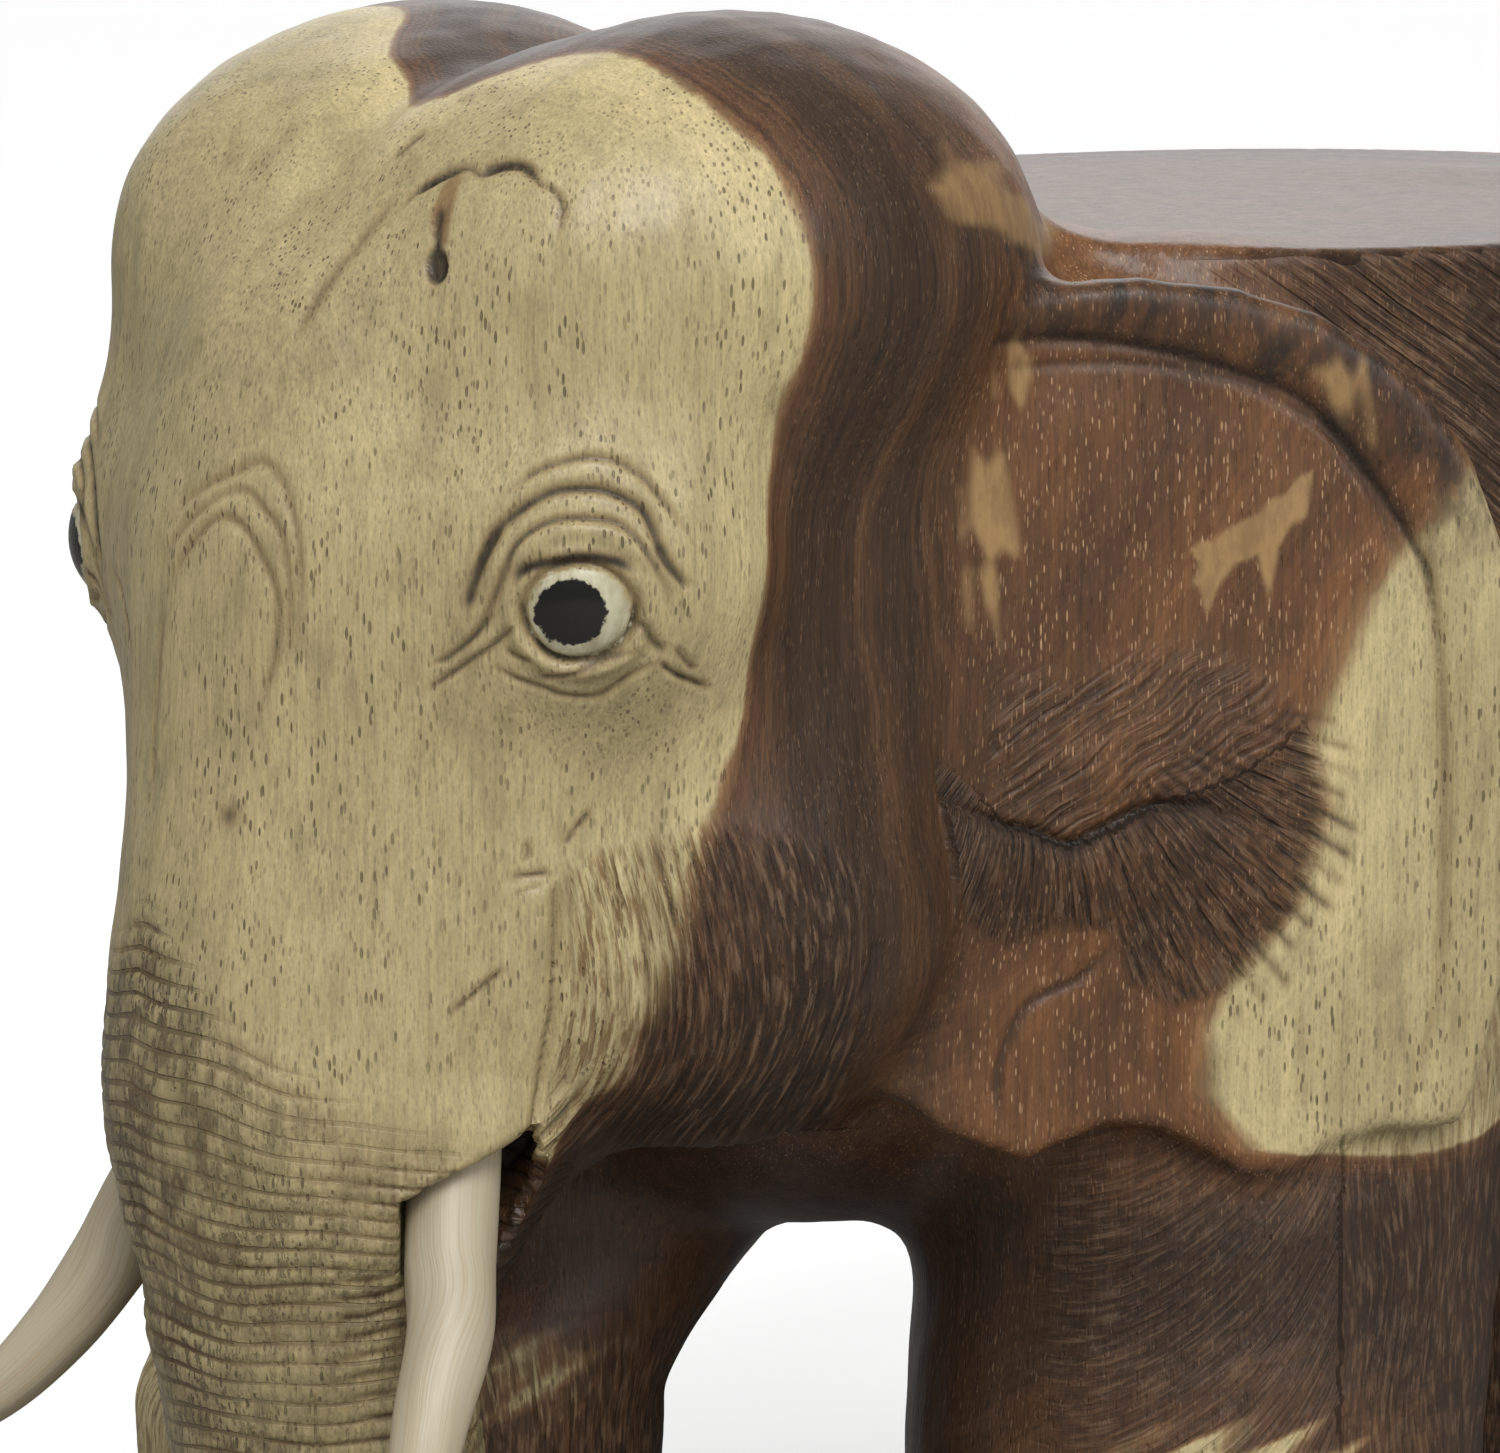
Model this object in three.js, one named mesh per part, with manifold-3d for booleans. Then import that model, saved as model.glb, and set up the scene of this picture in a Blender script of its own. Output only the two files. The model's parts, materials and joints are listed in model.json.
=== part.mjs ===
// A carved wooden elephant stool: one carved block with a flat seat on its back, and two tusks
// of a paler wood that push into sockets drilled in the upper lip.
// Millimetres, +Z up. The origin is on the floor, under the middle of the elephant's length.
// The elephant faces -Y, so its left side is +X. Its right front and left hind legs step forward.
import * as THREE from "three";
import { mergeVertices } from "three/addons/utils/BufferGeometryUtils.js";
import Module from "manifold-3d";

const wasm = await Module();
wasm.setup();

// Driving dimensions.
const SEAT_HEIGHT = 262;
const SEAT_HALF_WIDTH = 98;
const SEAT_HALF_LENGTH = 115;
const SEAT_CENTRE_Y = 73;
const SAWN_OFF = 14; // the block is blended this much too long, then sawn flat at the seat and the soles
const DOME_TOP = 298; // the two domes of the skull are the highest points
const BELLY_HEIGHT = 98;
const BELLY_START = 186; // the torso's walls are upright above this height
const FOOT_RADIUS = 42;
const EAR_THICKNESS = 7;
const EAR_BEVEL = 2.5;
const EAR_STEP = 5; // how far the ear's rim stands out beyond the wood that backs it
const EAR_BACKING = 34;
const TUSK_RADIUS = 6.6;
const SOCKET_DEPTH = 22;
const SOCKET_CLEARANCE = 0.3;

// Grid planes of the blended skin, closer together round the head.
const WIDTH_STRETCHES = [-116, [[116, 10.4]]];
const LENGTH_STRETCHES = [-186, [[-40, 8.9], [208, 12.8]]];
const HEIGHT_STRETCHES = [-22, [[122, 14.5], [312, 9.5]]];
const LARGEST_MOVE = 3; // the most that one step pulls a corner of the skin

// How far the masses flow into each other.
const BODY_FLOW = 16;
const HEAD_FLOW = 16;
const CROWN_FLOW = 10;
const END_ROUND = 6;

const LEFT = 1;
const RIGHT = -1;

// ---------------------------------------------------------------- geometry helpers

// A closed three.js geometry as a solid that can be joined and cut.
function solid(geometry) {
  const bare = new THREE.BufferGeometry().setAttribute("position", geometry.getAttribute("position"));
  bare.setIndex(geometry.getIndex());
  const merged = mergeVertices(bare, 1e-3);
  return new wasm.Manifold(
    new wasm.Mesh({
      numProp: 3,
      vertProperties: new Float32Array(merged.getAttribute("position").array),
      triVerts: new Uint32Array(merged.getIndex().array),
    }),
  );
}

// A three.js geometry stripped to its positions.
function plain(geometry) {
  geometry.deleteAttribute("normal");
  geometry.deleteAttribute("uv");
  return geometry;
}

// A solid's triangles as a three.js geometry.
function geometryOf(made) {
  const mesh = made.getMesh();
  const geometry = new THREE.BufferGeometry();
  geometry.setAttribute("position", new THREE.BufferAttribute(mesh.vertProperties, 3));
  geometry.setIndex(new THREE.BufferAttribute(mesh.triVerts, 1));
  geometry.computeVertexNormals();
  return geometry;
}

function join(solids) {
  return solids.reduce((sum, next) => sum.add(next));
}

// Rings of points, lowest first and each anticlockwise seen from the far end, closed by two caps.
function skin(rings) {
  const sides = rings[0].length;
  const positions = rings.flat().flatMap((p) => p.toArray());
  const index = [];
  for (let ring = 0; ring + 1 < rings.length; ring++) {
    for (let side = 0; side < sides; side++) {
      const a = ring * sides + side;
      const b = ring * sides + ((side + 1) % sides);
      index.push(a, b, b + sides, a, b + sides, a + sides);
    }
  }
  const capCentre = (ring) => {
    const centre = ring.reduce((sum, p) => sum.add(p), new THREE.Vector3()).divideScalar(sides);
    positions.push(...centre.toArray());
    return positions.length / 3 - 1;
  };
  const bottom = capCentre(rings[0]);
  const top = capCentre(rings[rings.length - 1]);
  const lastRing = (rings.length - 1) * sides;
  for (let side = 0; side < sides; side++) {
    const next = (side + 1) % sides;
    index.push(bottom, next, side);
    index.push(top, lastRing + side, lastRing + next);
  }
  const geometry = new THREE.BufferGeometry();
  geometry.setAttribute("position", new THREE.Float32BufferAttribute(positions, 3));
  geometry.setIndex(index);
  return solid(geometry);
}

// Numbers that pass smoothly through a few stations; each station is a list of numbers.
function smooth(stations, t) {
  const place = t * (stations.length - 1);
  const from = Math.min(Math.floor(place), stations.length - 2);
  const at = (i) => stations[THREE.MathUtils.clamp(i, 0, stations.length - 1)];
  return stations[0].map((_, k) => {
    const [a, b, c, d] = [-1, 0, 1, 2].map((step) => at(from + step)[k]);
    const u = place - from;
    const slopeIn = (c - a) / 2;
    const slopeOut = (d - b) / 2;
    return (
      b * (2 * u ** 3 - 3 * u ** 2 + 1) +
      slopeIn * (u ** 3 - 2 * u ** 2 + u) +
      c * (3 * u ** 2 - 2 * u ** 3) +
      slopeOut * (u ** 3 - u ** 2)
    );
  });
}

// Shapes to blend are functions from a point to its distance outside the shape, negative inside.

function egg([cx, cy, cz], [rx, ry, rz]) {
  return (x, y, z) => {
    const [u, v, w] = [(x - cx) / rx, (y - cy) / ry, (z - cz) / rz];
    const reach = Math.hypot(u, v, w);
    return (reach * (reach - 1)) / Math.max(Math.hypot(u / rx, v / ry, w / rz), 1e-9);
  };
}

// A round bar through stations, each [x, y, z, radius].
function bar(stations) {
  return (x, y, z) => {
    let nearest = Infinity;
    for (let i = 0; i + 1 < stations.length; i++) {
      const [ax, ay, az, ar] = stations[i];
      const [bx, by, bz, br] = stations[i + 1];
      const [ux, uy, uz] = [bx - ax, by - ay, bz - az];
      const along = ((x - ax) * ux + (y - ay) * uy + (z - az) * uz) / (ux * ux + uy * uy + uz * uz);
      const t = THREE.MathUtils.clamp(along, 0, 1);
      const gap = Math.hypot(x - ax - t * ux, y - ay - t * uy, z - az - t * uz);
      nearest = Math.min(nearest, gap - (ar + t * (br - ar)));
    }
    return nearest;
  };
}

// An upright column of round sections, each [z, x, y, radius], lowest first.
function column(sections) {
  const lowest = sections[0][0];
  const highest = sections[sections.length - 1][0];
  return (x, y, z) => {
    const level = THREE.MathUtils.clamp(z, lowest, highest);
    let i = 0;
    while (i + 2 < sections.length && sections[i + 1][0] < level) i++;
    const t = THREE.MathUtils.smoothstep(level, sections[i][0], sections[i + 1][0]);
    const [, cx, cy, r] = sections[i].map((v, k) => v + t * (sections[i + 1][k] - v));
    const side = Math.hypot(x - cx, y - cy) - r;
    return softMax(side, Math.max(z - highest, lowest - z), END_ROUND);
  };
}

function softMin(a, b, reach) {
  const h = Math.max(reach - Math.abs(a - b), 0) / reach;
  return Math.min(a, b) - (h * h * reach) / 4;
}

function softMax(a, b, reach) {
  return -softMin(-a, -b, reach);
}

// Shapes flow into each other over the given reach.
function blend(reach, shapes) {
  return (x, y, z) => shapes.reduce((sum, shape) => softMin(sum, shape(x, y, z), reach), 1e3);
}

// Grid planes from one place to the next, each stretch [upTo, spacing].
function planes(start, stretches) {
  const places = [start];
  for (const [upTo, spacing] of stretches) {
    const from = places[places.length - 1];
    const steps = Math.ceil((upTo - from) / spacing);
    for (let step = 1; step <= steps; step++) places.push(from + ((upTo - from) * step) / steps);
  }
  return places;
}

// The surface of a distance function as one closed skin: one corner in each grid cell that the
// surface crosses, pulled on to the surface, and one face for each grid edge that it crosses.
function skinOf(distance, grid) {
  const count = grid.map((places) => places.length);
  const gridIndex = (i, j, k) => (k * count[1] + j) * count[0] + i;
  const at = (i, j, k) => [grid[0][i], grid[1][j], grid[2][k]];
  const value = new Float64Array(count[0] * count[1] * count[2]);
  const everyCell = (visit) => {
    for (let k = 0; k < count[2]; k++)
      for (let j = 0; j < count[1]; j++) for (let i = 0; i < count[0]; i++) visit(i, j, k);
  };
  everyCell((i, j, k) => (value[gridIndex(i, j, k)] = distance(...at(i, j, k))));

  const slope = (x, y, z) => {
    const e = 0.05;
    return new THREE.Vector3(
      distance(x + e, y, z) - distance(x - e, y, z),
      distance(x, y + e, z) - distance(x, y - e, z),
      distance(x, y, z + e) - distance(x, y, z - e),
    ).divideScalar(2 * e);
  };
  const corners = [0, 1, 2, 3, 4, 5, 6, 7].map((n) => [n & 1, (n >> 1) & 1, n >> 2]);
  const corner = new Map();
  const positions = [];
  everyCell((i, j, k) => {
    if (i + 1 >= count[0] || j + 1 >= count[1] || k + 1 >= count[2]) return;
    const crossings = new THREE.Vector3();
    let found = 0;
    for (const from of corners) {
      for (const axis of [0, 1, 2]) {
        if (from[axis]) continue;
        const to = from.map((v, n) => (n === axis ? 1 : v));
        const [a, b] = [from, to].map(([di, dj, dk]) => value[gridIndex(i + di, j + dj, k + dk)]);
        if (a < 0 === b < 0) continue;
        const point = at(i + from[0], j + from[1], k + from[2]);
        const far = grid[axis][[i, j, k][axis] + 1];
        point[axis] += ((far - point[axis]) * a) / (a - b);
        crossings.add(new THREE.Vector3(...point));
        found++;
      }
    }
    if (!found) return;
    const point = crossings.divideScalar(found);
    for (let step = 0; step < 4; step++) {
      const down = slope(point.x, point.y, point.z);
      const move = distance(point.x, point.y, point.z) / Math.max(down.lengthSq(), 0.2);
      point.addScaledVector(down, -THREE.MathUtils.clamp(move, -LARGEST_MOVE, LARGEST_MOVE));
    }
    corner.set(gridIndex(i, j, k), positions.length / 3);
    positions.push(point.x, point.y, point.z);
  });

  const index = [];
  everyCell((i, j, k) => {
    const here = [i, j, k];
    for (const axis of [0, 1, 2]) {
      const [next, last] = [(axis + 1) % 3, (axis + 2) % 3];
      const far = here.map((v, n) => v + (n === axis ? 1 : 0));
      if (far[axis] >= count[axis] || !here[next] || !here[last]) continue;
      const inside = value[gridIndex(...here)] < 0;
      if (inside === value[gridIndex(...far)] < 0) continue;
      const around = [[0, 0], [1, 0], [1, 1], [0, 1]].map(([u, v]) =>
        corner.get(gridIndex(...here.map((w, n) => w - (n === next ? u : 0) - (n === last ? v : 0)))),
      );
      const [a, b, c, d] = inside ? around : [...around].reverse();
      index.push(a, b, c, a, c, d);
    }
  });
  const geometry = new THREE.BufferGeometry();
  geometry.setAttribute("position", new THREE.Float32BufferAttribute(positions, 3));
  geometry.setIndex(index);
  return solid(geometry);
}

// A round limb along a smooth path of stations, each [x, y, z, radius].
function limb(stations, { sides = 16, steps = 24 } = {}) {
  const path = new THREE.CatmullRomCurve3(
    stations.map(([x, y, z]) => new THREE.Vector3(x, y, z)),
    false,
    "catmullrom",
    0.5,
  );
  const rings = [];
  let across = new THREE.Vector3(1, 0, 0);
  for (let step = 0; step <= steps; step++) {
    const t = step / steps;
    const centre = path.getPoint(t);
    const along = path.getTangent(t);
    across = across.clone().addScaledVector(along, -across.dot(along)).normalize();
    const third = along.clone().cross(across);
    const radius = smooth(stations, t)[3];
    const ring = [];
    for (let side = 0; side < sides; side++) {
      const angle = (2 * Math.PI * side) / sides;
      ring.push(
        centre
          .clone()
          .addScaledVector(across, radius * Math.cos(angle))
          .addScaledVector(third, radius * Math.sin(angle)),
      );
    }
    rings.push(ring);
  }
  return skin(rings);
}

// The same geometry on the elephant's other side.
function mirrored(geometry) {
  geometry.scale(-1, 1, 1);
  const flat = geometry.index ? geometry.toNonIndexed() : geometry;
  const p = flat.getAttribute("position");
  for (let i = 0; i < p.count; i += 3) {
    const [x, y, z] = [p.getX(i), p.getY(i), p.getZ(i)];
    p.setXYZ(i, p.getX(i + 1), p.getY(i + 1), p.getZ(i + 1));
    p.setXYZ(i + 1, x, y, z);
  }
  return flat;
}

// ---------------------------------------------------------------- body

// The torso: upright walls, squarer than an ellipse in plan, a rounded belly and the flat seat on top.
function torso(x, y, z) {
  const below = Math.max(BELLY_START - z, 0);
  const across = (Math.abs(x) / SEAT_HALF_WIDTH) ** 2.4;
  const lengthways = (Math.abs(y - SEAT_CENTRE_Y) / SEAT_HALF_LENGTH) ** 2.4;
  const down = (below / (BELLY_START - BELLY_HEIGHT)) ** 2.4;
  const reach = Math.max((across + lengthways + down) ** (1 / 2.4), 0.05);
  const wall = Math.hypot(x, y - SEAT_CENTRE_Y, below) * (1 - 1 / reach);
  return softMax(wall, z - SEAT_HEIGHT - SAWN_OFF, END_ROUND);
}

// What is sawn away above the seat. Its front face leans with the back of the head.
function sawnSeat() {
  const outline = new THREE.Shape();
  outline.moveTo(-40, SEAT_HEIGHT);
  outline.lineTo(-50, SEAT_HEIGHT + 10);
  outline.lineTo(-50, SEAT_HEIGHT + 70);
  outline.lineTo(215, SEAT_HEIGHT + 70);
  outline.lineTo(215, SEAT_HEIGHT);
  const geometry = new THREE.ExtrudeGeometry(outline, { depth: 260, bevelEnabled: false });
  geometry.translate(0, 0, -130);
  geometry.applyMatrix4(
    new THREE.Matrix4().makeBasis(
      new THREE.Vector3(0, 1, 0),
      new THREE.Vector3(0, 0, 1),
      new THREE.Vector3(1, 0, 0),
    ),
  );
  return solid(plain(geometry));
}

function sawnSoles() {
  const geometry = new THREE.BoxGeometry(300, 500, 100);
  geometry.translate(0, 0, -50);
  return solid(plain(geometry));
}

function bodyMasses() {
  return [
    torso,
    egg([0, 132, 184], [86, 58, 70]),
    ...[LEFT, RIGHT].flatMap((side) => [
      egg([side * 50, -16, 186], [32, 46, 70]),
      egg([side * 64, 4, 190], [29, 36, 56]),
    ]),
    egg([0, -44, 184], [58, 54, 75]),
  ];
}

// One leg, from its sole up into the body. The foot, the knee and the hip are [x, y].
function leg(foot, knee, hip, kneeRadius, hipRadius) {
  const between = (p, q, t) => [p[0] + t * (q[0] - p[0]), p[1] + t * (q[1] - p[1])];
  return column([
    [-SAWN_OFF, ...foot, FOOT_RADIUS - 3],
    [12, ...foot, FOOT_RADIUS],
    [40, ...between(foot, knee, 0.4), kneeRadius - 2],
    [76, ...knee, kneeRadius],
    [112, ...between(knee, hip, 0.5), (kneeRadius + hipRadius) / 2],
    [150, ...hip, hipRadius],
    [190, hip[0] * 0.9, hip[1], hipRadius - 4],
  ]);
}

function legs() {
  return [
    leg([57, -22], [51, -8], [48, 2], 45, 46),
    leg([-55, -80], [-54, -78], [-46, -30], 42, 42),
    leg([56, 108], [55, 114], [50, 124], 43, 47),
    leg([-56, 146], [-55, 141], [-50, 130], 43, 47),
  ];
}

// The tail hangs down the rump.
function tail() {
  return limb(
    [
      [0, 178, 240, 7],
      [2, 186.5, 222, 6.5],
      [5, 188.8, 190, 6],
      [9, 188.5, 155, 5.5],
      [13, 187, 124, 7.5],
      [15, 184, 104, 6.5],
      [16, 181, 88, 2],
    ],
    { sides: 10, steps: 14 },
  );
}

// ---------------------------------------------------------------- head

// Two domes with a groove between them, brows over the eyes, cheeks, and the root of the trunk.
function head() {
  const skull = blend(HEAD_FLOW, [
    egg([0, -100, 222], [54, 60, 66]),
    ...[LEFT, RIGHT].flatMap((side) => [
      egg([side * 37, -127.5, 226], [22, 22.5, 27]),
      egg([side * 30, -96, 172], [33, 44, 37]),
      egg([side * 22, -56, 222], [38, 58, 52]),
      bar(tuskSheathStations(side)),
    ]),
    egg([0, -116, 140], [17, 22, 14]),
    bar(TRUNK.slice(0, 5).map(([x, y, z, r], i) => [x, y, z, r - (i > 3 ? 2 : 0)])),
  ]);
  const domes = [LEFT, RIGHT].map((side) => egg([side * 29, -92, DOME_TOP - 36], [39, 56, 36]));
  return blend(CROWN_FLOW, [skull, ...domes]);
}

// The trunk hangs from the forehead, narrows, and its tip curls forward just clear of the floor.
// Stations along it, each [x, y, z, radius].
const TRUNK = [
  [0, -121, 264, 24],
  [0, -132, 246, 27],
  [0, -134.5, 222, 31],
  [0, -136.5, 196, 32.5],
  [0, -141, 165, 33.5],
  [0, -144, 146, 31],
  [0, -146, 131, 27.8],
  [0, -147, 115, 25.2],
  [0, -147, 100, 22.6],
  [0, -141, 80, 20.5],
  [0, -134, 60, 18.8],
  [0, -131, 42, 17.2],
  [0, -137, 25, 15.5],
  [0, -151, 17, 13.5],
  [0, -166, 20, 11],
  [0, -174, 30, 8.5],
];

function trunk() {
  return limb(TRUNK.slice(3), { sides: 22, steps: 28 });
}

// The ear lies back along the shoulder. Its plane leaves the head at the hinge line and turns outwards.
const EAR_HINGE = new THREE.Vector3(54, -77, 0);
const EAR_BACKWARDS = new THREE.Vector3(0.577, 0.817, 0).normalize();
const EAR_OUTWARDS = new THREE.Vector3(EAR_BACKWARDS.y, -EAR_BACKWARDS.x, 0);

// The ear's outline, backwards and up, with three scallops along its lower edge.
function earOutline() {
  const outline = new THREE.Shape();
  outline.moveTo(-12, 148);
  outline.lineTo(-12, 246);
  outline.bezierCurveTo(10, 262, 56, 262, 74, 240);
  outline.bezierCurveTo(88, 226, 95, 205, 93, 184);
  outline.bezierCurveTo(92, 168, 88, 150, 83, 135);
  outline.quadraticCurveTo(66, 134, 50, 128);
  outline.quadraticCurveTo(36, 138, 13, 132);
  outline.quadraticCurveTo(2, 136, -12, 148);
  return outline;
}

// A slab of the ear behind its outer face, with its edge set in.
function earSlab(side, depth, setIn) {
  const geometry = new THREE.ExtrudeGeometry(earOutline(), {
    depth: depth - 2 * EAR_BEVEL,
    bevelThickness: EAR_BEVEL,
    bevelSize: EAR_BEVEL,
    bevelOffset: -EAR_BEVEL - setIn,
    bevelSegments: 2,
    curveSegments: 8,
  });
  geometry.translate(0, 0, EAR_BEVEL - depth);
  const up = new THREE.Vector3(0, 0, 1);
  geometry.applyMatrix4(new THREE.Matrix4().makeBasis(EAR_BACKWARDS, up, EAR_OUTWARDS).setPosition(EAR_HINGE));
  return solid(plain(side === LEFT ? geometry : mirrored(geometry)));
}

function ear(side) {
  return earSlab(side, EAR_THICKNESS, 0).add(earSlab(side, EAR_BACKING, EAR_STEP));
}

// ---------------------------------------------------------------- tusks and their sockets

// Each tusk leaves its socket downwards, a little forwards and outwards. That is also the way it pulls out.
const TUSK_ENTRY = new THREE.Vector3(27.2, -147.2, 137);
const TUSK_AXIS = new THREE.Vector3(0.33, -0.4, -0.855).normalize();

// A point on the tusk's socket axis, at a distance below the entry, on either side of the head.
function onTuskAxis(side, distance) {
  const point = TUSK_ENTRY.clone().addScaledVector(TUSK_AXIS, distance);
  return [side * point.x, point.y, point.z];
}

// The lip swells round the tusk's root.
function tuskSheathStations(side) {
  return [
    [...onTuskAxis(side, -6), 10],
    [...onTuskAxis(side, -18), 12.5],
    [side * 23.5, -139, 175, 14],
    [side * 24, -134, 200, 14],
  ];
}

// The sheath's open end stands a little further down the tusk.
function sheathMouth(side) {
  return limb(
    [
      [...onTuskAxis(side, 1), 8.8],
      [...onTuskAxis(side, -8), 11],
      [...onTuskAxis(side, -18), 12.5],
    ],
    { sides: 18, steps: 5 },
  );
}

function socketBore(side) {
  const radius = TUSK_RADIUS + SOCKET_CLEARANCE;
  const below = 14;
  const length = SOCKET_DEPTH + SOCKET_CLEARANCE + below;
  const geometry = new THREE.CylinderGeometry(radius, radius, length, 32);
  const axis = new THREE.Vector3(side * TUSK_AXIS.x, TUSK_AXIS.y, TUSK_AXIS.z);
  geometry.applyQuaternion(new THREE.Quaternion().setFromUnitVectors(new THREE.Vector3(0, 1, 0), axis));
  geometry.translate(...onTuskAxis(side, below - length / 2));
  return solid(plain(geometry));
}

// The straight butt, then the curve that sweeps forwards and outwards to the tip.
function tusk(side) {
  return limb(
    [
      [...onTuskAxis(side, -SOCKET_DEPTH), TUSK_RADIUS],
      [...onTuskAxis(side, -SOCKET_DEPTH / 2), TUSK_RADIUS],
      [...onTuskAxis(side, 0), TUSK_RADIUS],
      [...onTuskAxis(side, SOCKET_DEPTH / 2), TUSK_RADIUS - 0.1],
      [side * 34.9, -155.6, 118, 6.1],
      [side * 38.9, -162.8, 107.6, 5.5],
      [side * 45.4, -171, 98.2, 4.6],
      [side * 54.4, -181, 91.8, 3.3],
      [side * 64.5, -193.2, 88.8, 1],
    ],
    { sides: 20, steps: 24 },
  );
}

// ---------------------------------------------------------------- assembly

const heartwood = new THREE.MeshStandardMaterial({ color: 0x6b4f38, roughness: 0.5, metalness: 0 });
const paleWood = new THREE.MeshStandardMaterial({ color: 0xc9c0a8, roughness: 0.4, metalness: 0 });

function node(name, made, material) {
  const mesh = new THREE.Mesh(geometryOf(made), material);
  mesh.name = name;
  return mesh;
}

const masses = blend(BODY_FLOW, [...bodyMasses(), ...legs(), head()]);

const carvedBlock = join([
  skinOf(masses, [
    planes(...WIDTH_STRETCHES),
    planes(...LENGTH_STRETCHES),
    planes(...HEIGHT_STRETCHES),
  ]).subtract(sawnSeat()).subtract(sawnSoles()),
  tail(),
  trunk(),
  ear(LEFT),
  ear(RIGHT),
  sheathMouth(LEFT),
  sheathMouth(RIGHT),
])
  .subtract(socketBore(LEFT))
  .subtract(socketBore(RIGHT));

const elephant = new THREE.Group();
elephant.add(node("carved_body", carvedBlock, heartwood));
elephant.add(node("left_tusk", tusk(LEFT), paleWood));
elephant.add(node("right_tusk", tusk(RIGHT), paleWood));

export default elephant;
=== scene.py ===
"""Looks of the carved wooden elephant: one carved and varnished block, and two pale wooden tusks.

The block is sculpted as a distance function, skinned, refined where the carving is fine, and then
carved along its normals. Lengths in this file are millimetres, and Blender's are metres.
The elephant faces -Y, its left side is +X.
"""

import json

import bpy
import numpy as np
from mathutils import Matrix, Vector


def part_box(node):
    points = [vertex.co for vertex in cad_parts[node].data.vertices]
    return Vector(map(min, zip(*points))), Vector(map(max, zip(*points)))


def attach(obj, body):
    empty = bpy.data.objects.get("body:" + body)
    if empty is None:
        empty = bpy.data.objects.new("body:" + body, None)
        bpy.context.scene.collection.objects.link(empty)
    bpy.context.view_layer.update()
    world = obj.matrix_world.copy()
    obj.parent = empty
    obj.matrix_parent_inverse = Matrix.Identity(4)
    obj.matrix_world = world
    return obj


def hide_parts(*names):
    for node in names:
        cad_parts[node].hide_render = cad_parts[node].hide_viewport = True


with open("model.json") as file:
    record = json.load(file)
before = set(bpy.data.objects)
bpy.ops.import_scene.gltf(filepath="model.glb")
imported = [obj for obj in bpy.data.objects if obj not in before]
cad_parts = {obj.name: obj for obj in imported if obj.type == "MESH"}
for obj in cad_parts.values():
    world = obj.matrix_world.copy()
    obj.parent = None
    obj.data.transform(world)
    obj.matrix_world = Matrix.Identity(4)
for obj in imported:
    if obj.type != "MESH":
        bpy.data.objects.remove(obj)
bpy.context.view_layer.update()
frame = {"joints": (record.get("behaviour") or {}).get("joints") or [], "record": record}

MM = 0.001
LEFT, RIGHT = 1, -1
SIDES = (LEFT, RIGHT)
FAR = np.inf


# ---------- places, from the frame

MOUNTS = {m["name"]: np.array(m["pos_m"]) / MM for m in frame["record"]["mounts"]}
SEAT = MOUNTS["seat_top"]
SOLES = [name for name in MOUNTS if name.startswith("sole")]
BODY_LOW, BODY_HIGH = (np.array(corner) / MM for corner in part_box("carved_body"))
CROWN = BODY_HIGH[2] + 0.5
SEAT_HALF_WIDTH = 98.0
SEAT_HALF_LENGTH = 115.0
BELLY = 98.0
WALL_FOOT = 186.0
FOOT = 42.0
TUSK_RADIUS = 6.6
SOCKET_DEPTH = 22.0
CLEARANCE = 0.3

# Each tusk draws out along its joint's axis. Its root stands at the mouth of the socket.
TUSK_AXIS = np.array(next(j["axis"] for j in frame["joints"] if j["child"] == "left_tusk"))
TUSK_ROOT = np.array([27.2, -147.2, 137.0])


# ---------- distance functions

def unit(v):
    v = np.asarray(v, float)
    return v / np.linalg.norm(v)


def mirrored(points):
    return points * np.array([-1.0, 1.0, 1.0])


def egg(p, centre, radii):
    q = (p - np.array(centre)) / np.array(radii)
    reach = np.linalg.norm(q, axis=1)
    return reach * (reach - 1) / np.maximum(np.linalg.norm(q / np.array(radii), axis=1), 1e-9)


def eggs(p, centre, radii):
    """Two eggs, the left one and the right one."""
    x, y, z = centre
    return [egg(p, (side * x, y, z), radii) for side in SIDES]


def bar(p, stations):
    """A round bar through stations, each (x, y, z, radius)."""
    nearest = np.full(len(p), 1e9)
    for a, b in zip(stations[:-1], stations[1:]):
        a, b = np.array(a, float), np.array(b, float)
        along = b[:3] - a[:3]
        t = np.clip((p - a[:3]) @ along / (along @ along), 0, 1)
        gap = np.linalg.norm(p - a[:3] - t[:, None] * along, axis=1)
        nearest = np.minimum(nearest, gap - (a[3] + t * (b[3] - a[3])))
    return nearest


def smooth_step(x, low, high):
    t = np.clip((x - low) / (high - low), 0, 1)
    return t * t * (3 - 2 * t)


def fade(x, low, high):
    """1 up to low, falling to 0 at high."""
    return 1 - smooth_step(x, low, high)


def ridge(x, width):
    """A rounded ridge along x = 0, 1 high."""
    return np.exp(-((x / width) ** 2))


def within(values, lows, highs):
    """Which points lie in a box, given their coordinates and its two corners."""
    inside = [(value > low) & (value < high) for value, low, high in zip(values, lows, highs)]
    return np.all(inside, axis=0)


def soft_min(a, b, reach):
    h = np.maximum(reach - np.abs(a - b), 0) / reach
    return np.minimum(a, b) - h * h * reach / 4


def soft_max(a, b, reach):
    return -soft_min(-a, -b, reach)


def blend(reach, distances):
    total = distances[0]
    for distance in distances[1:]:
        total = soft_min(total, distance, reach)
    return total


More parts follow.
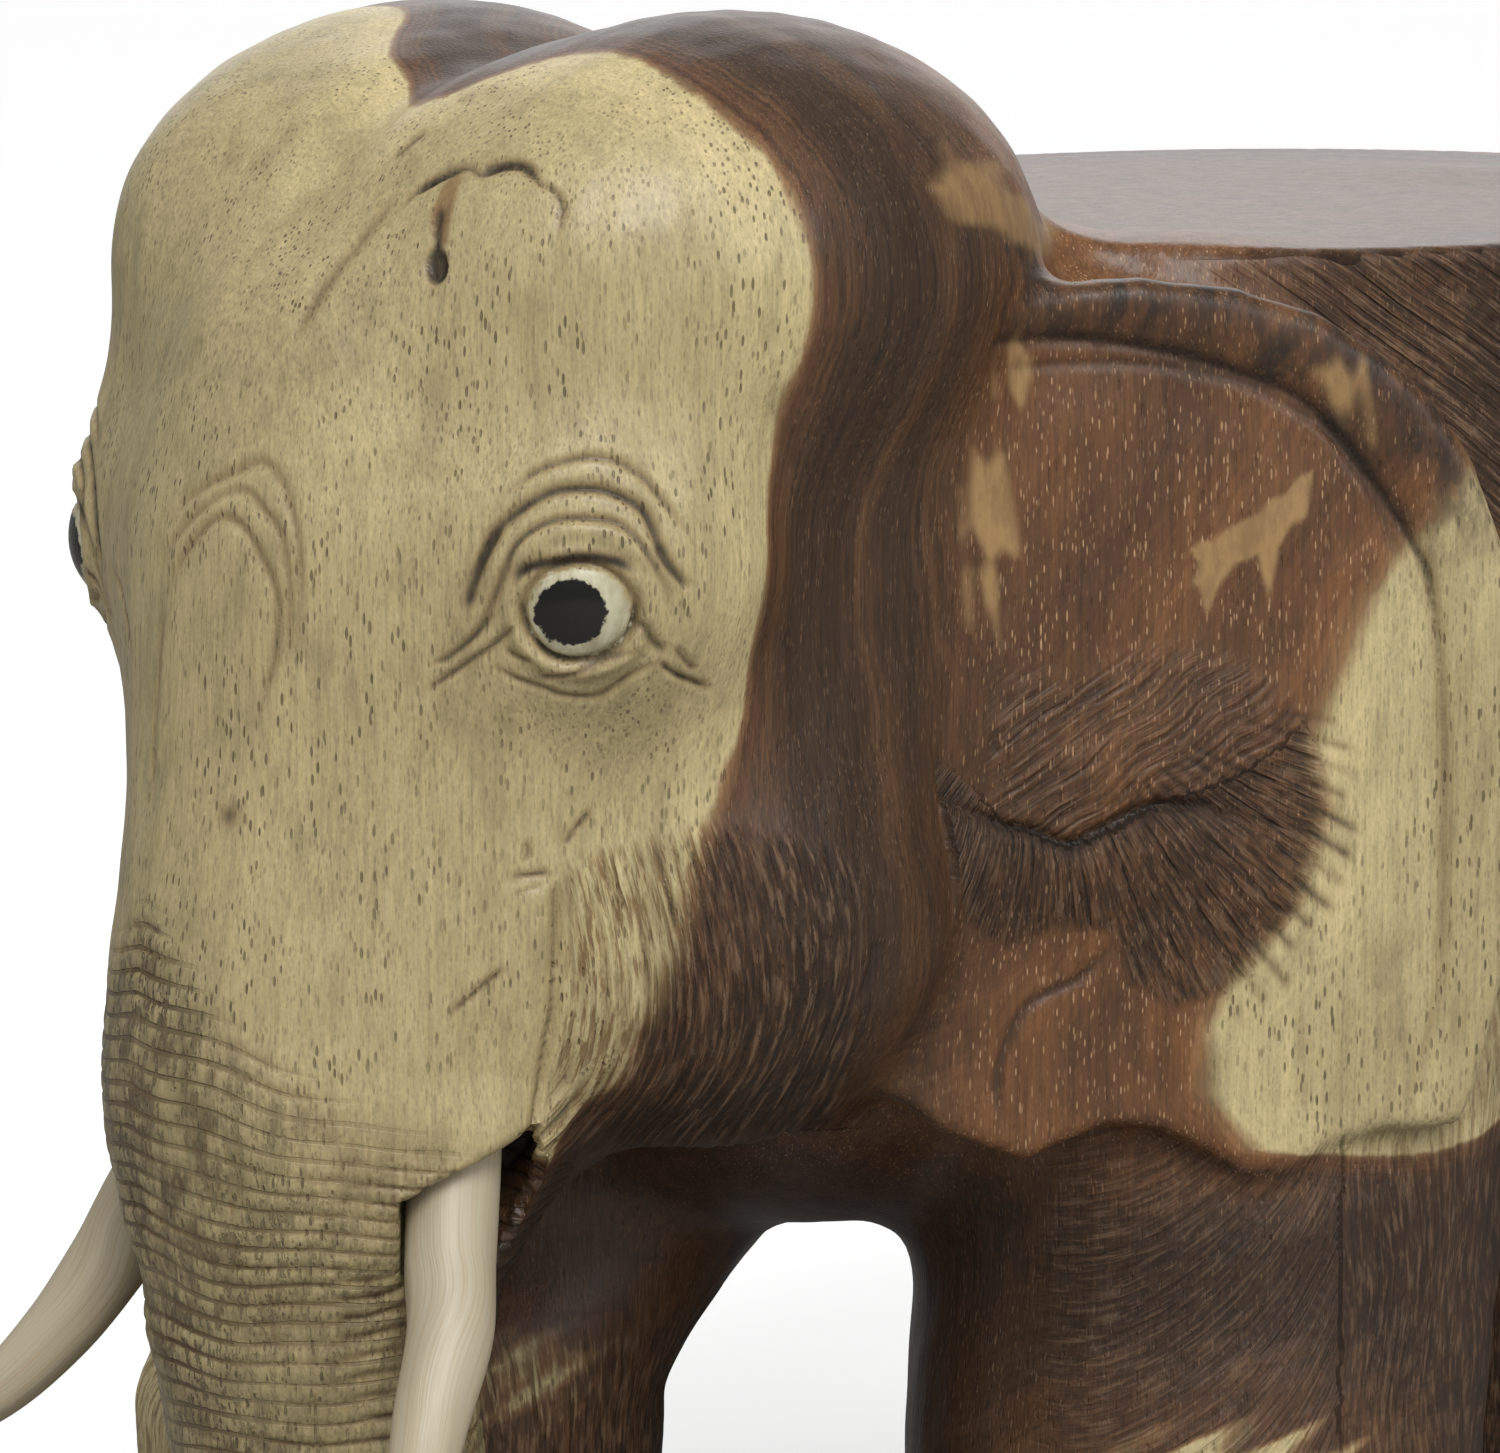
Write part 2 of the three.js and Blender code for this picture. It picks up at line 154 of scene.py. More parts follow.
def column(p, sections):
    """An upright column of round sections, each (z, x, y, radius), lowest first."""
    sections = np.array(sections, float)
    level = np.clip(p[:, 2], sections[0, 0], sections[-1, 0])
    i = np.clip(np.searchsorted(sections[:, 0], level) - 1, 0, len(sections) - 2)
    t = smooth_step(level, sections[i, 0], sections[i + 1, 0])[:, None]
    here = sections[i] * (1 - t) + sections[i + 1] * t
    side = np.hypot(p[:, 0] - here[:, 1], p[:, 1] - here[:, 2]) - here[:, 3]
    ends = np.maximum(p[:, 2] - sections[-1, 0], sections[0, 0] - p[:, 2])
    return soft_max(side, ends, 5.0)


# ---------- the block's masses

def torso(p):
    """Upright walls, a rounded belly, and the flat seat on top."""
    power = 2.4
    below = np.maximum(WALL_FOOT - p[:, 2], 0)
    across = (np.abs(p[:, 0]) / SEAT_HALF_WIDTH) ** power
    lengthways = (np.abs(p[:, 1] - SEAT[1]) / SEAT_HALF_LENGTH) ** power
    down = (below / (WALL_FOOT - BELLY)) ** power
    reach = np.maximum((across + lengthways + down) ** (1 / power), 0.05)
    wall = np.sqrt(p[:, 0] ** 2 + (p[:, 1] - SEAT[1]) ** 2 + below**2) * (1 - 1 / reach)
    return soft_max(wall, p[:, 2] - SEAT[2], 2.6)


def leg(p, foot, knee, hip, knee_radius, hip_radius):
    """One leg, from its sole up into the body. foot, knee and hip are (x, y)."""
    middle = [(a + b) / 2 for a, b in zip(knee, hip)]
    shin = [a * 0.6 + b * 0.4 for a, b in zip(foot, knee)]
    return column(p, [
        (0, *foot, FOOT - 1),
        (12, *foot, FOOT),
        (40, *shin, knee_radius - 2),
        (76, *knee, knee_radius),
        (112, *middle, (knee_radius + hip_radius) / 2),
        (150, *hip, hip_radius),
        (190, hip[0] * 0.9, hip[1], hip_radius - 4),
    ])


def legs(p):
    return blend(12, [
        leg(p, MOUNTS["sole_front_left"][:2], (51, -8), (48, 2), 45, 46),
        leg(p, MOUNTS["sole_front_right"][:2], (-54, -78), (-46, -30), 42, 42),
        leg(p, MOUNTS["sole_hind_left"][:2], (55, 114), (50, 124), 43, 47),
        leg(p, MOUNTS["sole_hind_right"][:2], (-55, 141), (-50, 130), 43, 47),
    ])


def tail(p):
    return bar(p, [
        (0, 178, 240, 7), (2, 186.5, 222, 6.5), (5, 188.8, 190, 6), (9, 188.5, 155, 5.5),
        (13, 187, 124, 7.5), (15, 184, 104, 6.5), (16, 181, 90, 2.5),
    ])


# Stations along the trunk, each (x, y, z, radius). The tip curls forward just clear of the floor.
TRUNK = [
    (0, -121, 264, 24), (0, -132, 246, 27), (0, -134.5, 222, 31), (0, -136.5, 196, 32.5),
    (0, -141, 165, 33.5), (0, -144, 146, 31), (0, -146, 131, 27.8), (0, -147, 115, 25.2),
    (0, -147, 100, 22.6), (0, -141, 80, 20.5), (0, -134, 60, 18.8), (0, -131, 42, 17.2),
    (0, -137, 25, 15.5), (0, -151, 17, 13.5), (0, -166, 20, 11), (0, -174, 30, 8.5),
]


def on_tusk_axis(side, distance):
    point = TUSK_ROOT + TUSK_AXIS * distance
    return (side * point[0], point[1], point[2])


def sheath(p, side):
    """The lip swells round the tusk's root."""
    return bar(p, [
        (*on_tusk_axis(side, 0), 8.8), (*on_tusk_axis(side, -8), 11), (*on_tusk_axis(side, -18), 12.5),
        (side * 23.5, -139, 175, 14), (side * 24, -134, 200, 14),
    ])


def head(p):
    """Brows, cheeks, lips and the trunk, under two domes with a groove between them."""
    skull = blend(18, [
        egg(p, (0, -100, 222), (54, 60, 66)),
        *eggs(p, (37, -127.5, 226), (22, 22.5, 27)),
        *eggs(p, (30, -96, 172), (33, 44, 37)),
        *eggs(p, (22, -56, 222), (38, 58, 52)),
        egg(p, (0, -116, 140), (17, 22, 14)),
        bar(p, TRUNK[:6]),
    ])
    skull = blend(9, [skull, sheath(p, LEFT), sheath(p, RIGHT), bar(p, TRUNK[5:])])
    domes = eggs(p, (29, -93, CROWN - 36), (38.3, 54.5, 36))
    return blend(12, [skull, *domes])


# ---------- ears

# An ear is a curved plate. Its own axes are backwards along the head, up, and outwards.
EAR_HINGE = np.array([54.0, -77.0, 0.0])
EAR_BACK = unit([0.577, 0.817, 0])
EAR_OUT = np.array([EAR_BACK[1], -EAR_BACK[0], 0])
EAR_THICKNESS = 7.0
EAR_STEP = 5.0
EAR_BACKING = 34.0

# The ear's outline, (backwards, up), from the hinge over the top and round to the lower edge.
EAR_OUTLINE = [
    (-14, 246), (0, 253), (18, 259.5), (32, 260), (47, 258), (58, 254.5), (67, 249.5), (76, 242),
    (83, 232), (88, 219), (91.5, 206), (93, 192), (93, 180), (91, 166), (88, 150), (85, 138),
    (82.5, 133), (77, 132.5), (69, 133), (62, 132), (56, 129), (50, 127.8), (43.5, 131.5), (36, 134.7),
    (28, 135.6), (21, 133.2), (15.7, 131), (10, 133), (3, 136), (-5, 142), (-12, 150),
]


def ear_axes(p):
    """(backwards, up, outwards) of points on the left half, in the ear's own axes."""
    q = p - EAR_HINGE
    return q @ EAR_BACK, p[:, 2], q @ EAR_OUT


def outline_distance(u, v, outline):
    """Distance to a closed outline in the plane, negative inside."""
    corners = np.array(outline, float)
    nearest = np.full(len(u), 1e9)
    inside = np.zeros(len(u), bool)
    for a, b in zip(corners, np.roll(corners, -1, axis=0)):
        edge = b - a
        t = np.clip(((u - a[0]) * edge[0] + (v - a[1]) * edge[1]) / (edge @ edge), 0, 1)
        nearest = np.minimum(nearest, np.hypot(u - a[0] - t * edge[0], v - a[1] - t * edge[1]))
        crosses = (a[1] > v) != (b[1] > v)
        with np.errstate(divide="ignore", invalid="ignore"):
            at = a[0] + (v - a[1]) * edge[0] / edge[1]
        inside ^= crosses & (u < at)
    return np.where(inside, -nearest, nearest)


def slab(edge, out, depth, rounding):
    """A plate behind the ear's outer face, from the distance to its outline."""
    return soft_max(edge, np.abs(out + depth / 2) - depth / 2, rounding)


def ear(p):
    """The left ear: a plate whose rim stands out beyond the wood that backs it."""
    back, up, out = ear_axes(p)
    near = within((back, up, out), (-30, 115, -50), (105, 270, 25))
    distance = np.full(len(p), 30.0)
    edge = outline_distance(back[near], up[near], EAR_OUTLINE)
    plate = slab(edge, out[near], EAR_THICKNESS, 3.0)
    backing = slab(edge + EAR_STEP, out[near], EAR_BACKING, 6.0)
    distance[near] = np.minimum(plate, backing)
    return distance


def from_tusk_axis(p, side):
    """Where points are from a tusk's root, and how far along and across its axis."""
    axis = TUSK_AXIS * np.array([side, 1, 1])
    q = p - np.array(on_tusk_axis(side, 0))
    along = q @ axis
    return q, along, np.linalg.norm(q - along[:, None] * axis, axis=1)


def lip_slant(p, side):
    """A wedge cut off the lip's lower edge, which slants up outwards over the tusk."""
    q, along, across = from_tusk_axis(p, side)
    outwards = q @ np.array([side * 0.75, 0.66, 0])
    below = q @ np.array([-0.364 * side, -0.32, 0.875]) - 3.0
    return np.maximum(np.maximum(below, across - 11.5), np.maximum(along - 12, -7 - outwards))


def socket(p, side):
    """The drilled socket of a tusk."""
    _, along, across = from_tusk_axis(p, side)
    ends = np.maximum(along - 16, -SOCKET_DEPTH - CLEARANCE - along)
    return np.maximum(across - TUSK_RADIUS - CLEARANCE, ends)


def block(p):
    """Distance outside the block's smooth masses, negative inside."""
    body = blend(16, [
        torso(p),
        egg(p, (0, 132, 184), (86, 58, 70)),
        *eggs(p, (50, -16, 186), (32, 46, 70)),
        *eggs(p, (64, 4, 190), (29, 36, 56)),
        egg(p, (0, -44, 184), (58, 54, 75)),
        legs(p),
    ])
    whole = blend(10, [body, head(p)])
    whole = soft_min(whole, tail(p), 3.0)
    ears = np.where(p[:, 0] > 0, ear(p), ear(mirrored(p)))
    whole = soft_min(whole, ears, 6.0)
    for side in SIDES:
        whole = soft_max(whole, -lip_slant(p, side), 1.2)
        whole = np.maximum(whole, -socket(p, side))
    return np.maximum(whole, -p[:, 2])


# ---------- skin

def sliced(axis, start, stop):
    """Picks a stretch of a grid along one axis."""
    picked = [slice(None)] * 3
    picked[axis] = slice(start, stop)
    return tuple(picked)


def skin(distance, low, high, cell):
    """Surface nets: one point in each grid cell that the surface crosses. Returns points and triangles."""
    axes = [np.arange(a, b + cell, cell) for a, b in zip(low, high)]
    grid = np.stack(np.meshgrid(*axes, indexing="ij"), -1)
    value = distance(grid.reshape(-1, 3)).reshape(grid.shape[:3])
    cells = np.array(value.shape) - 1
    total = np.zeros((*cells, 3))
    found = np.zeros(cells)
    edges = []
    for axis in range(3):
        first, second = sliced(axis, 0, -1), sliced(axis, 1, None)
        a, b = value[first], value[second]
        crossed = (a < 0) != (b < 0)
        share = np.where(crossed, a / np.where(crossed, a - b, 1), 0)
        point = grid[first] * crossed[..., None]
        point[..., axis] += share * cell
        after, last = [n for n in range(3) if n != axis]
        for i in (0, 1):
            for j in (0, 1):
                part = [slice(None)] * 3
                part[after] = slice(i, cells[after] + i)
                part[last] = slice(j, cells[last] + j)
                total += point[tuple(part)]
                found += crossed[tuple(part)]
        edges.append((crossed, a < 0))
    index = np.full(cells, -1)
    index[found > 0] = np.arange((found > 0).sum())
    return total[found > 0] / found[found > 0][:, None], skin_faces(edges, index)


def skin_faces(edges, index):
    """Two triangles round each crossed grid edge, between the points of the four cells that meet there."""
    quads = []
    for axis, (crossed, inside) in enumerate(edges):
        after, last = (axis + 1) % 3, (axis + 2) % 3
        at = np.argwhere(crossed)
        at = at[(at[:, after] > 0) & (at[:, last] > 0)]
        at = at[(at[:, after] < index.shape[after]) & (at[:, last] < index.shape[last])]
        ring = []
        for i, j in ((0, 0), (1, 0), (1, 1), (0, 1)):
            cell_at = at.copy()
            cell_at[:, after] -= i
            cell_at[:, last] -= j
            ring.append(index[tuple(cell_at.T)])
        ring = np.stack(ring, 1)
        flip = ~inside[tuple(at.T)]
        ring[flip] = ring[flip][:, ::-1]
        quads.append(ring)
    quads = np.concatenate(quads)
    return np.concatenate([quads[:, [0, 1, 2]], quads[:, [0, 2, 3]]])


def slope(distance, p, step=0.05):
    """The distance function's gradient at points."""
    found = np.empty_like(p)
    for axis in range(3):
        offset = np.zeros(3)
        offset[axis] = step
        found[:, axis] = (distance(p + offset) - distance(p - offset)) / (2 * step)
    return found


def settle(distance, p, rounds=3, most=1.0):
    """Pulls points on to the surface."""
    for _ in range(rounds):
        g = slope(distance, p)
        move = distance(p) / np.maximum((g * g).sum(1), 0.2)
        p = p - g * np.clip(move, -most, most)[:, None]
    return p


def refine(points, faces, longest):
    """Splits each edge that is longer than longest allows at its middle, once."""
    edges = np.sort(np.concatenate([faces[:, [0, 1]], faces[:, [1, 2]], faces[:, [2, 0]]]), 1)
    key = edges[:, 0] * len(points) + edges[:, 1]
    _, first, inverse = np.unique(key, return_index=True, return_inverse=True)
    unique = edges[first]
    middle = (points[unique[:, 0]] + points[unique[:, 1]]) / 2
    length = np.linalg.norm(points[unique[:, 0]] - points[unique[:, 1]], axis=1)
    split = length > longest(middle)
    new_index = np.full(len(unique), -1)
    new_index[split] = len(points) + np.arange(split.sum())
    points = np.concatenate([points, middle[split]])
    mid = new_index[inverse].reshape(3, -1).T
    count = (mid >= 0).sum(1)
    # Turn each face so that its split edges come first.
    for _ in range(2):
        turn = ((count == 1) & (mid[:, 0] < 0)) | ((count == 2) & (mid[:, 2] >= 0))
        faces[turn] = faces[turn][:, [1, 2, 0]]
        mid[turn] = mid[turn][:, [1, 2, 0]]
    a, b, c = faces.T
    m, n, o = mid.T
    none, one, two, three = (count == k for k in range(4))
    parts = [
        faces[none],
        np.stack([a, m, c], 1)[one], np.stack([m, b, c], 1)[one],
        np.stack([m, b, n], 1)[two], np.stack([a, m, n], 1)[two], np.stack([a, n, c], 1)[two],
        np.stack([a, m, o], 1)[three], np.stack([m, b, n], 1)[three],
        np.stack([o, n, c], 1)[three], np.stack([m, n, o], 1)[three],
    ]
    return points, np.concatenate(parts), split.any()


# ---------- carving tools

def smooth_path(points, steps=5):
    """A Catmull-Rom curve through a few points."""
    p = np.array(points, float)
    if len(p) == 2:
        return p
    ends = np.concatenate([[2 * p[0] - p[1]], p, [2 * p[-1] - p[-2]]])
    t = np.linspace(0, 1, steps, endpoint=False)[:, None]
    pieces = []
    for a, b, c, d in zip(ends, ends[1:], ends[2:], ends[3:]):
        bend = (2 * a - 5 * b + 4 * c - d) * t**2 + (3 * b - a - 3 * c + d) * t**3
        pieces.append(b + 0.5 * ((c - a) * t + bend))
    return np.concatenate([*pieces, p[-1:]])


def along_path(uv, path):
    """Distance from points to a path, and how far along it they are, 0 to 1."""
    nearest = np.full(len(uv), 1e9)
    place = np.zeros(len(uv))
    for i, (a, b) in enumerate(zip(path[:-1], path[1:])):
        edge = b - a
        t = np.clip((uv - a) @ edge / (edge @ edge), 0, 1)
        gap = np.hypot(*(uv - a - t[:, None] * edge).T)
        closer = gap < nearest
        nearest[closer] = gap[closer]
        place[closer] = (i + t[closer]) / (len(path) - 1)
    return nearest, place


def cut(uv, points, width):
    """How deep each point lies in a tapering knife cut along a smooth curve, 0 to 1."""
    path = smooth_path(points)
    near = within(uv.T, path.min(0) - 3 * width, path.max(0) + 3 * width)
    depth = np.zeros(len(uv))
    gap, place = along_path(uv[near], path)
    depth[near] = smooth_step(place, -0.05, 0.2) * fade(place, 0.8, 1.05) * ridge(gap, width)
    return depth


def waves(p, size, seed):
    """A value that wanders smoothly between about -1 and 1, the same on every run."""
    rng = np.random.default_rng(seed)
    total = np.zeros(len(p))
    for _ in range(5):
        direction = unit(rng.normal(size=p.shape[1])) * rng.uniform(0.6, 1.6)
        total += np.sin(p @ direction * (2 * np.pi / size) + rng.uniform(0, 2 * np.pi))
    return total / 2.5


def scatter(row, piece=0.0):
    """A scattered value from 0 to 1 for whole-number keys."""
    return np.modf(np.abs(np.sin(row * 12.9898 + piece * 78.233 + 4.1) * 43758.5453))[0]


def lanes(x, pitch):
    """The number of the lane that each point is in, and its place in the lane, -0.5 to 0.5."""
    lane = x / pitch
    row = np.floor(lane)
    return row, lane - row - 0.5


def hair(across, along, pitch, length, seed):
    """Lanes of overlapping knife strokes: how deep each point lies in a stroke, 0 to 1."""
    row, offset = lanes(across, pitch)
    place = along / length + scatter(row, seed)
    piece = np.floor(place)
    place = place - piece
    offset = offset - 0.26 * (scatter(row, piece + seed) - 0.5)
    taper = smooth_step(place, 0, 0.2) * fade(place, 0.74, 1)
    depth = 0.4 + 0.6 * scatter(piece, row + 7 + seed)
    return depth * taper * ridge(offset, 0.2)


def window(x, low, high, edge):
    """1 between low and high, fading to 0 over an edge outside them."""
    return smooth_step(x, low - edge, low) * fade(x, high, high + edge)


SHARES = ("stain", "filler", "dust", "comb", "wrinkled")


class Carving:
    """What the knife adds to the smooth block.

    height is along the block's normal in mm. stain, filler, dirt (with painted shade on the trunk), comb
    and wrinkled are shares from 0 to 1. across counts the lanes of combed hair, or millimetres round the
    trunk, and along is in millimetres along the hair, or up the trunk from wrinkle to wrinkle.
    """

    def __init__(self, count):
        for name in ("height", "across", "along", *SHARES):
            setattr(self, name, np.zeros(count))

    def mark(self, name, at, share, across, along):
        """Combed or wrinkled wood, where it is stronger than the combing that is there."""
        stronger = share > self.comb[at]
        chosen = at[stronger]
        getattr(self, name)[chosen] = share[stronger]
        self.across[chosen] = across[stronger]
        self.along[chosen] = along[stronger]

    def spread(self, name, at, amount):
        """Filler, or dirt with painted shade, where there is more of it than what is there."""
        values = getattr(self, name)
        values[at] = np.maximum(values[at], amount)

    def add(self, at, height=0.0, stain=0.0):
        self.height[at] += height
        self.stain[at] = 1 - (1 - self.stain[at]) * (1 - np.clip(stain, 0, 1))

    def engrave(self, at, uv, lines):
        """Cuts lines, each (width, depth, stain, points)."""
        for width, depth, stain, points in lines:
            amount = cut(uv, points, width)
            self.add(at, -depth * amount, stain * amount)

    def comb_strokes(self, at, where, flow, along, lane, amounts):
        """Knife strokes over fine hair. lane is (pitch, length, seed), amounts (depth, stain, comb)."""
        strokes = hair(flow, along, *lane) * where
        depth, stain, comb = amounts
        self.add(at, -depth * strokes, stain * strokes)
        self.mark("comb", at, comb * where, flow / lane[0], along)


# ---------- the face

# The face is laid out in the plane that faces the near three-quarter view: sideways towards the
# ear and upwards, from the pupil.
EYE = np.array([49.6, -146.2, 220.0])
SIDEWAYS = np.array([0.743, 0.669, 0.0])
UPWARDS = np.array([-0.110, 0.122, 0.9865])
TOWARDS = np.cross(UPWARDS, -SIDEWAYS)

EYE_LINES = [
    (0.6, 0.5, 0.7, [
        (-9.3, 15.7), (-5.3, 18.6), (-1.8, 20.1), (3.8, 20.9), (8.9, 18.9), (12.7, 14.8), (16.3, 9.8),
    ]),
    (0.8, 0.8, 0.9, [
        (-14.1, 1.2), (-12.1, 6.8), (-10.1, 10.9), (-7.1, 13.6), (-3, 16), (0.6, 16.7), (4.7, 16.4),
        (8.9, 14.5), (10.9, 11.8), (12.7, 6.8), (15.7, 4.1),
    ]),
    (0.9, 0.6, 1.0, [(-14.6, -0.6), (-13.2, 4.2), (-11.4, 8.6), (-9.6, 11.6)]),
    (0.8, 0.5, 0.8, [(11.9, 9.6), (13.4, 6.2), (16.2, 2.9)]),
    (0.6, 0.7, 0.8, [
        (-14.5, -4), (-12.1, -1.5), (-10.4, 2.1), (-8.9, 5.6), (-7.4, 8.9), (-5, 11.1), (-1.8, 12.4),
        (1.8, 12.6), (5.9, 12.1), (8.6, 10.1), (10.9, 6.8), (12.7, 3.3), (13.2, 0),
    ]),
    # Under the upper lid: a cut whose full stain is painted shadow of the lid over the ball.
    (1.0, 0.8, 1.0, [(-8.4, 3.2), (-6, 5.9), (-1.2, 6.9), (2.4, 7.3), (6.4, 6.7), (9.2, 5)]),
    (0.5, 0.5, 0.8, [
        (-7.6, 3.6), (-6.9, 0.9), (-5.9, -2.1), (-4.1, -4.6), (-1.8, -6.1), (1.8, -6), (5.3, -4.8),
        (7.9, -2.3), (8.8, 0.3), (9.4, 3.3),
    ]),
    (0.5, 0.5, 0.8, [(-20.7, -11.2), (-16, -8), (-11.5, -5), (-8.9, -3), (-7.4, -1.5)]),
    (0.5, 0.5, 0.8, [(-18.9, -7.1), (-16.6, -5.9), (-13.3, -3.3), (-10.4, 0)]),
    (0.5, 0.4, 0.7, [(-9.2, -5), (-7, -6), (-5, -6.5)]),
    (0.5, 0.5, 0.7, [(-4.5, -8.6), (-3, -8.6), (0.3, -8), (4.7, -6.2), (9.2, -4.7)]),
    (0.5, 0.5, 0.7, [
        (-10.9, -7.2), (-7.7, -8.9), (-4.1, -10.1), (-1.2, -11.2), (3.3, -11.4), (7.7, -8.6),
        (11.4, -6.8),
    ]),
    (0.8, 0.7, 0.7, [(8.6, -1.1), (9.9, -2.1), (10.9, -3.8), (13, -5.9)]),
    (0.5, 0.6, 0.9, [(11.8, -6.7), (14.5, -8.6), (19.2, -10.4)]),
    (0.5, 0.5, 0.7, [(13.9, -4.6), (15.4, -6.5), (16.9, -8)]),
]

# Lines of the knot's crack, and one line of painted shadow down the groove between the domes.
CRACK_AND_VALLEY_SHADOW_LINES = [
    (0.5, 0.5, 0.8, [
        (-25.3, 54.6), (-23.3, 56.5), (-21.5, 58.1), (-15, 60.9), (-12.6, 59.8), (-9.8, 60.8),
        (-6.5, 60.6), (-4.3, 58.2), (-2.2, 56.8), (-1.1, 54.5), (-1.5, 52.1), (-2, 47.5),
    ]),
    (0.9, 0.6, 1.0, [(-13, 60), (-9.8, 60.9), (-6.8, 60.7), (-4.6, 58.6)]),
    (0.6, 0.5, 1.0, [(-22, 58), (-19, 59.6), (-15.5, 60.9)]),
    (0.5, 0.4, 0.7, [(-25.6, 63), (-23, 65.2), (-20.3, 67)]),
    # Down the groove between the domes: a wide shallow cut whose stain is painted shadow of the valley.
    (1.0, 0.4, 0.6, [(-38.5, 37), (-35.5, 43), (-29, 52), (-24.5, 57.5)]),
    (0.7, 0.5, 0.8, [(-18, 55.5), (-18.5, 52), (-18.4, 49)]),
]
CRACK_FILLER = [(-15, 60.9), (-17.6, 58.6), (-19.3, 54.4), (-18.2, 50.2), (-17.2, 50.3), (-16.4, 54.1)]

SHORT_STROKES = [
    (0.5, 0.4, 0.8, [(2.4, -26.6), (0.3, -29.4), (-1.6, -32)]),
    (0.5, 0.4, 0.8, [(-9, -36.3), (-6, -35.8), (-2.9, -35.4)]),
    (0.4, 0.3, 0.6, [(-8.3, -38.2), (-6, -37.6), (-4.2, -37.2)]),
    (0.5, 0.4, 0.8, [(-17.5, -55.4), (-13.2, -51.6), (-9.3, -48.4)]),
    (0.5, 0.4, 0.7, [(-6.6, -31), (-6.2, -32.8), (-6.8, -34)]),
]

# Arches over the root of the trunk, (sideways, up) on the front of the face.
TRUNK_ROOT_LINES = [
    (0.7, 0.5, 0.5, [
        (-9.5, 228.8), (-3, 234), (3.6, 237), (8, 238.6), (11.7, 235.9), (14.9, 229.6), (16, 222),
        (16.5, 213.6),
    ]),
    (0.7, 0.5, 0.5, [
        (-10.6, 221.3), (-7.2, 226.7), (0.3, 232.8), (5.6, 234.7), (10, 231.9), (13.4, 227.6),
        (14.6, 218), (13.8, 210.4),
    ]),
    (0.7, 0.6, 0.6, [
        (-9.4, 218.2), (-4.8, 224.3), (0.9, 230.2), (5.1, 230.5), (8.9, 227.4), (12.6, 221),
        (12.7, 214), (11.8, 209), (9.9, 203),
    ]),
    (0.6, 0.4, 0.5, [(-8.6, 218.3), (-9.3, 212), (-9.9, 205.7), (-10.2, 198), (-9.6, 187.7)]),
    (0.6, 0.4, 0.5, [(-30.4, 220), (-23.6, 215.5), (-18.9, 208.7)]),
]


def face_plane(p):
    q = p - EYE
    return np.stack([q @ SIDEWAYS, q @ UPWARDS], 1)


def carve_eyes(carving, p):
    """The ball of each eye, its lids, the painted shadow under the upper lid and the folds round it. p is
    mirrored on to the left half.
    """
    at = np.flatnonzero(np.linalg.norm(p - EYE, axis=1) < 34)
    uv = face_plane(p[at])
    reach = np.hypot((uv[:, 0] - 1.1) / 7.3, uv[:, 1] / 6.3)
    ball = 1.5 * np.maximum(1 - reach**2, 0)
    lids = 0.9 * ridge(reach - 1.26, 0.17) - 0.7 * ridge(reach - 1.04, 0.07)
    brow = 0.8 * ridge(reach - 1.75, 0.3) * smooth_step(uv[:, 1], 0, 8)
    carving.add(at, ball + lids + brow, 0.45 * ridge(reach - 1.05, 0.07))
    carving.engrave(at, uv, EYE_LINES)


def carve_forehead(carving, p):
    """The knot's crack over the left eye, its filler and worm hole, the groove between the domes with a line
    of painted shadow down it, and arches over the trunk's root.
    """
    at = np.flatnonzero(within(p.T, (2, -FAR, 225), (FAR, -112, FAR)))
    uv = face_plane(p[at])
    carving.engrave(at, uv, CRACK_AND_VALLEY_SHADOW_LINES)
    carving.height -= 3.2 * ridge(p[:, 0], 7.5) * smooth_step(p[:, 2], 246, 284) * (p[:, 1] < -40)
    edge = outline_distance(uv[:, 0], uv[:, 1], CRACK_FILLER)
    carving.spread("filler", at, 0.8 * fade(edge, -0.3, 0.4))
    carving.add(at, 0, 0.45 * fade(edge, -0.3, 0.6))
    hole = np.hypot((uv[:, 0] + 18.6) / 1.7, (uv[:, 1] - 47.2) / 2.7)
    carving.add(at, -1.2 * fade(hole, 0.6, 1.1), 0.95 * fade(hole, 0.7, 1.3))
    at = np.flatnonzero(within(p.T, (-34, -FAR, 180), (34, -150, FAR)))
    carving.engrave(at, p[at][:, [0, 2]], TRUNK_ROOT_LINES)
    knot = ridge(np.hypot(p[at, 0] - 6.8, p[at, 2] - 190), 1.6)
    carving.add(at, -0.3 * knot, 0.7 * knot)


# The edge of the tusk's sheath over the cheek, (up, sideways) in the face's plane.
FLAP_UP = [-80, -75.6, -70.6, -62, -55.5, -46.9, -40.9, -35.4]
FLAP_SIDEWAYS = [-12.5, -9.1, -6.2, -4.8, -3.5, -2.9, -2.7, -3.2]
CHEEK_LINES = [(0.8, 0.6, 0.6, [(42.5, -45), (41.5, -50), (39.5, -55)])]
CHEEK_PITCH = 2.7


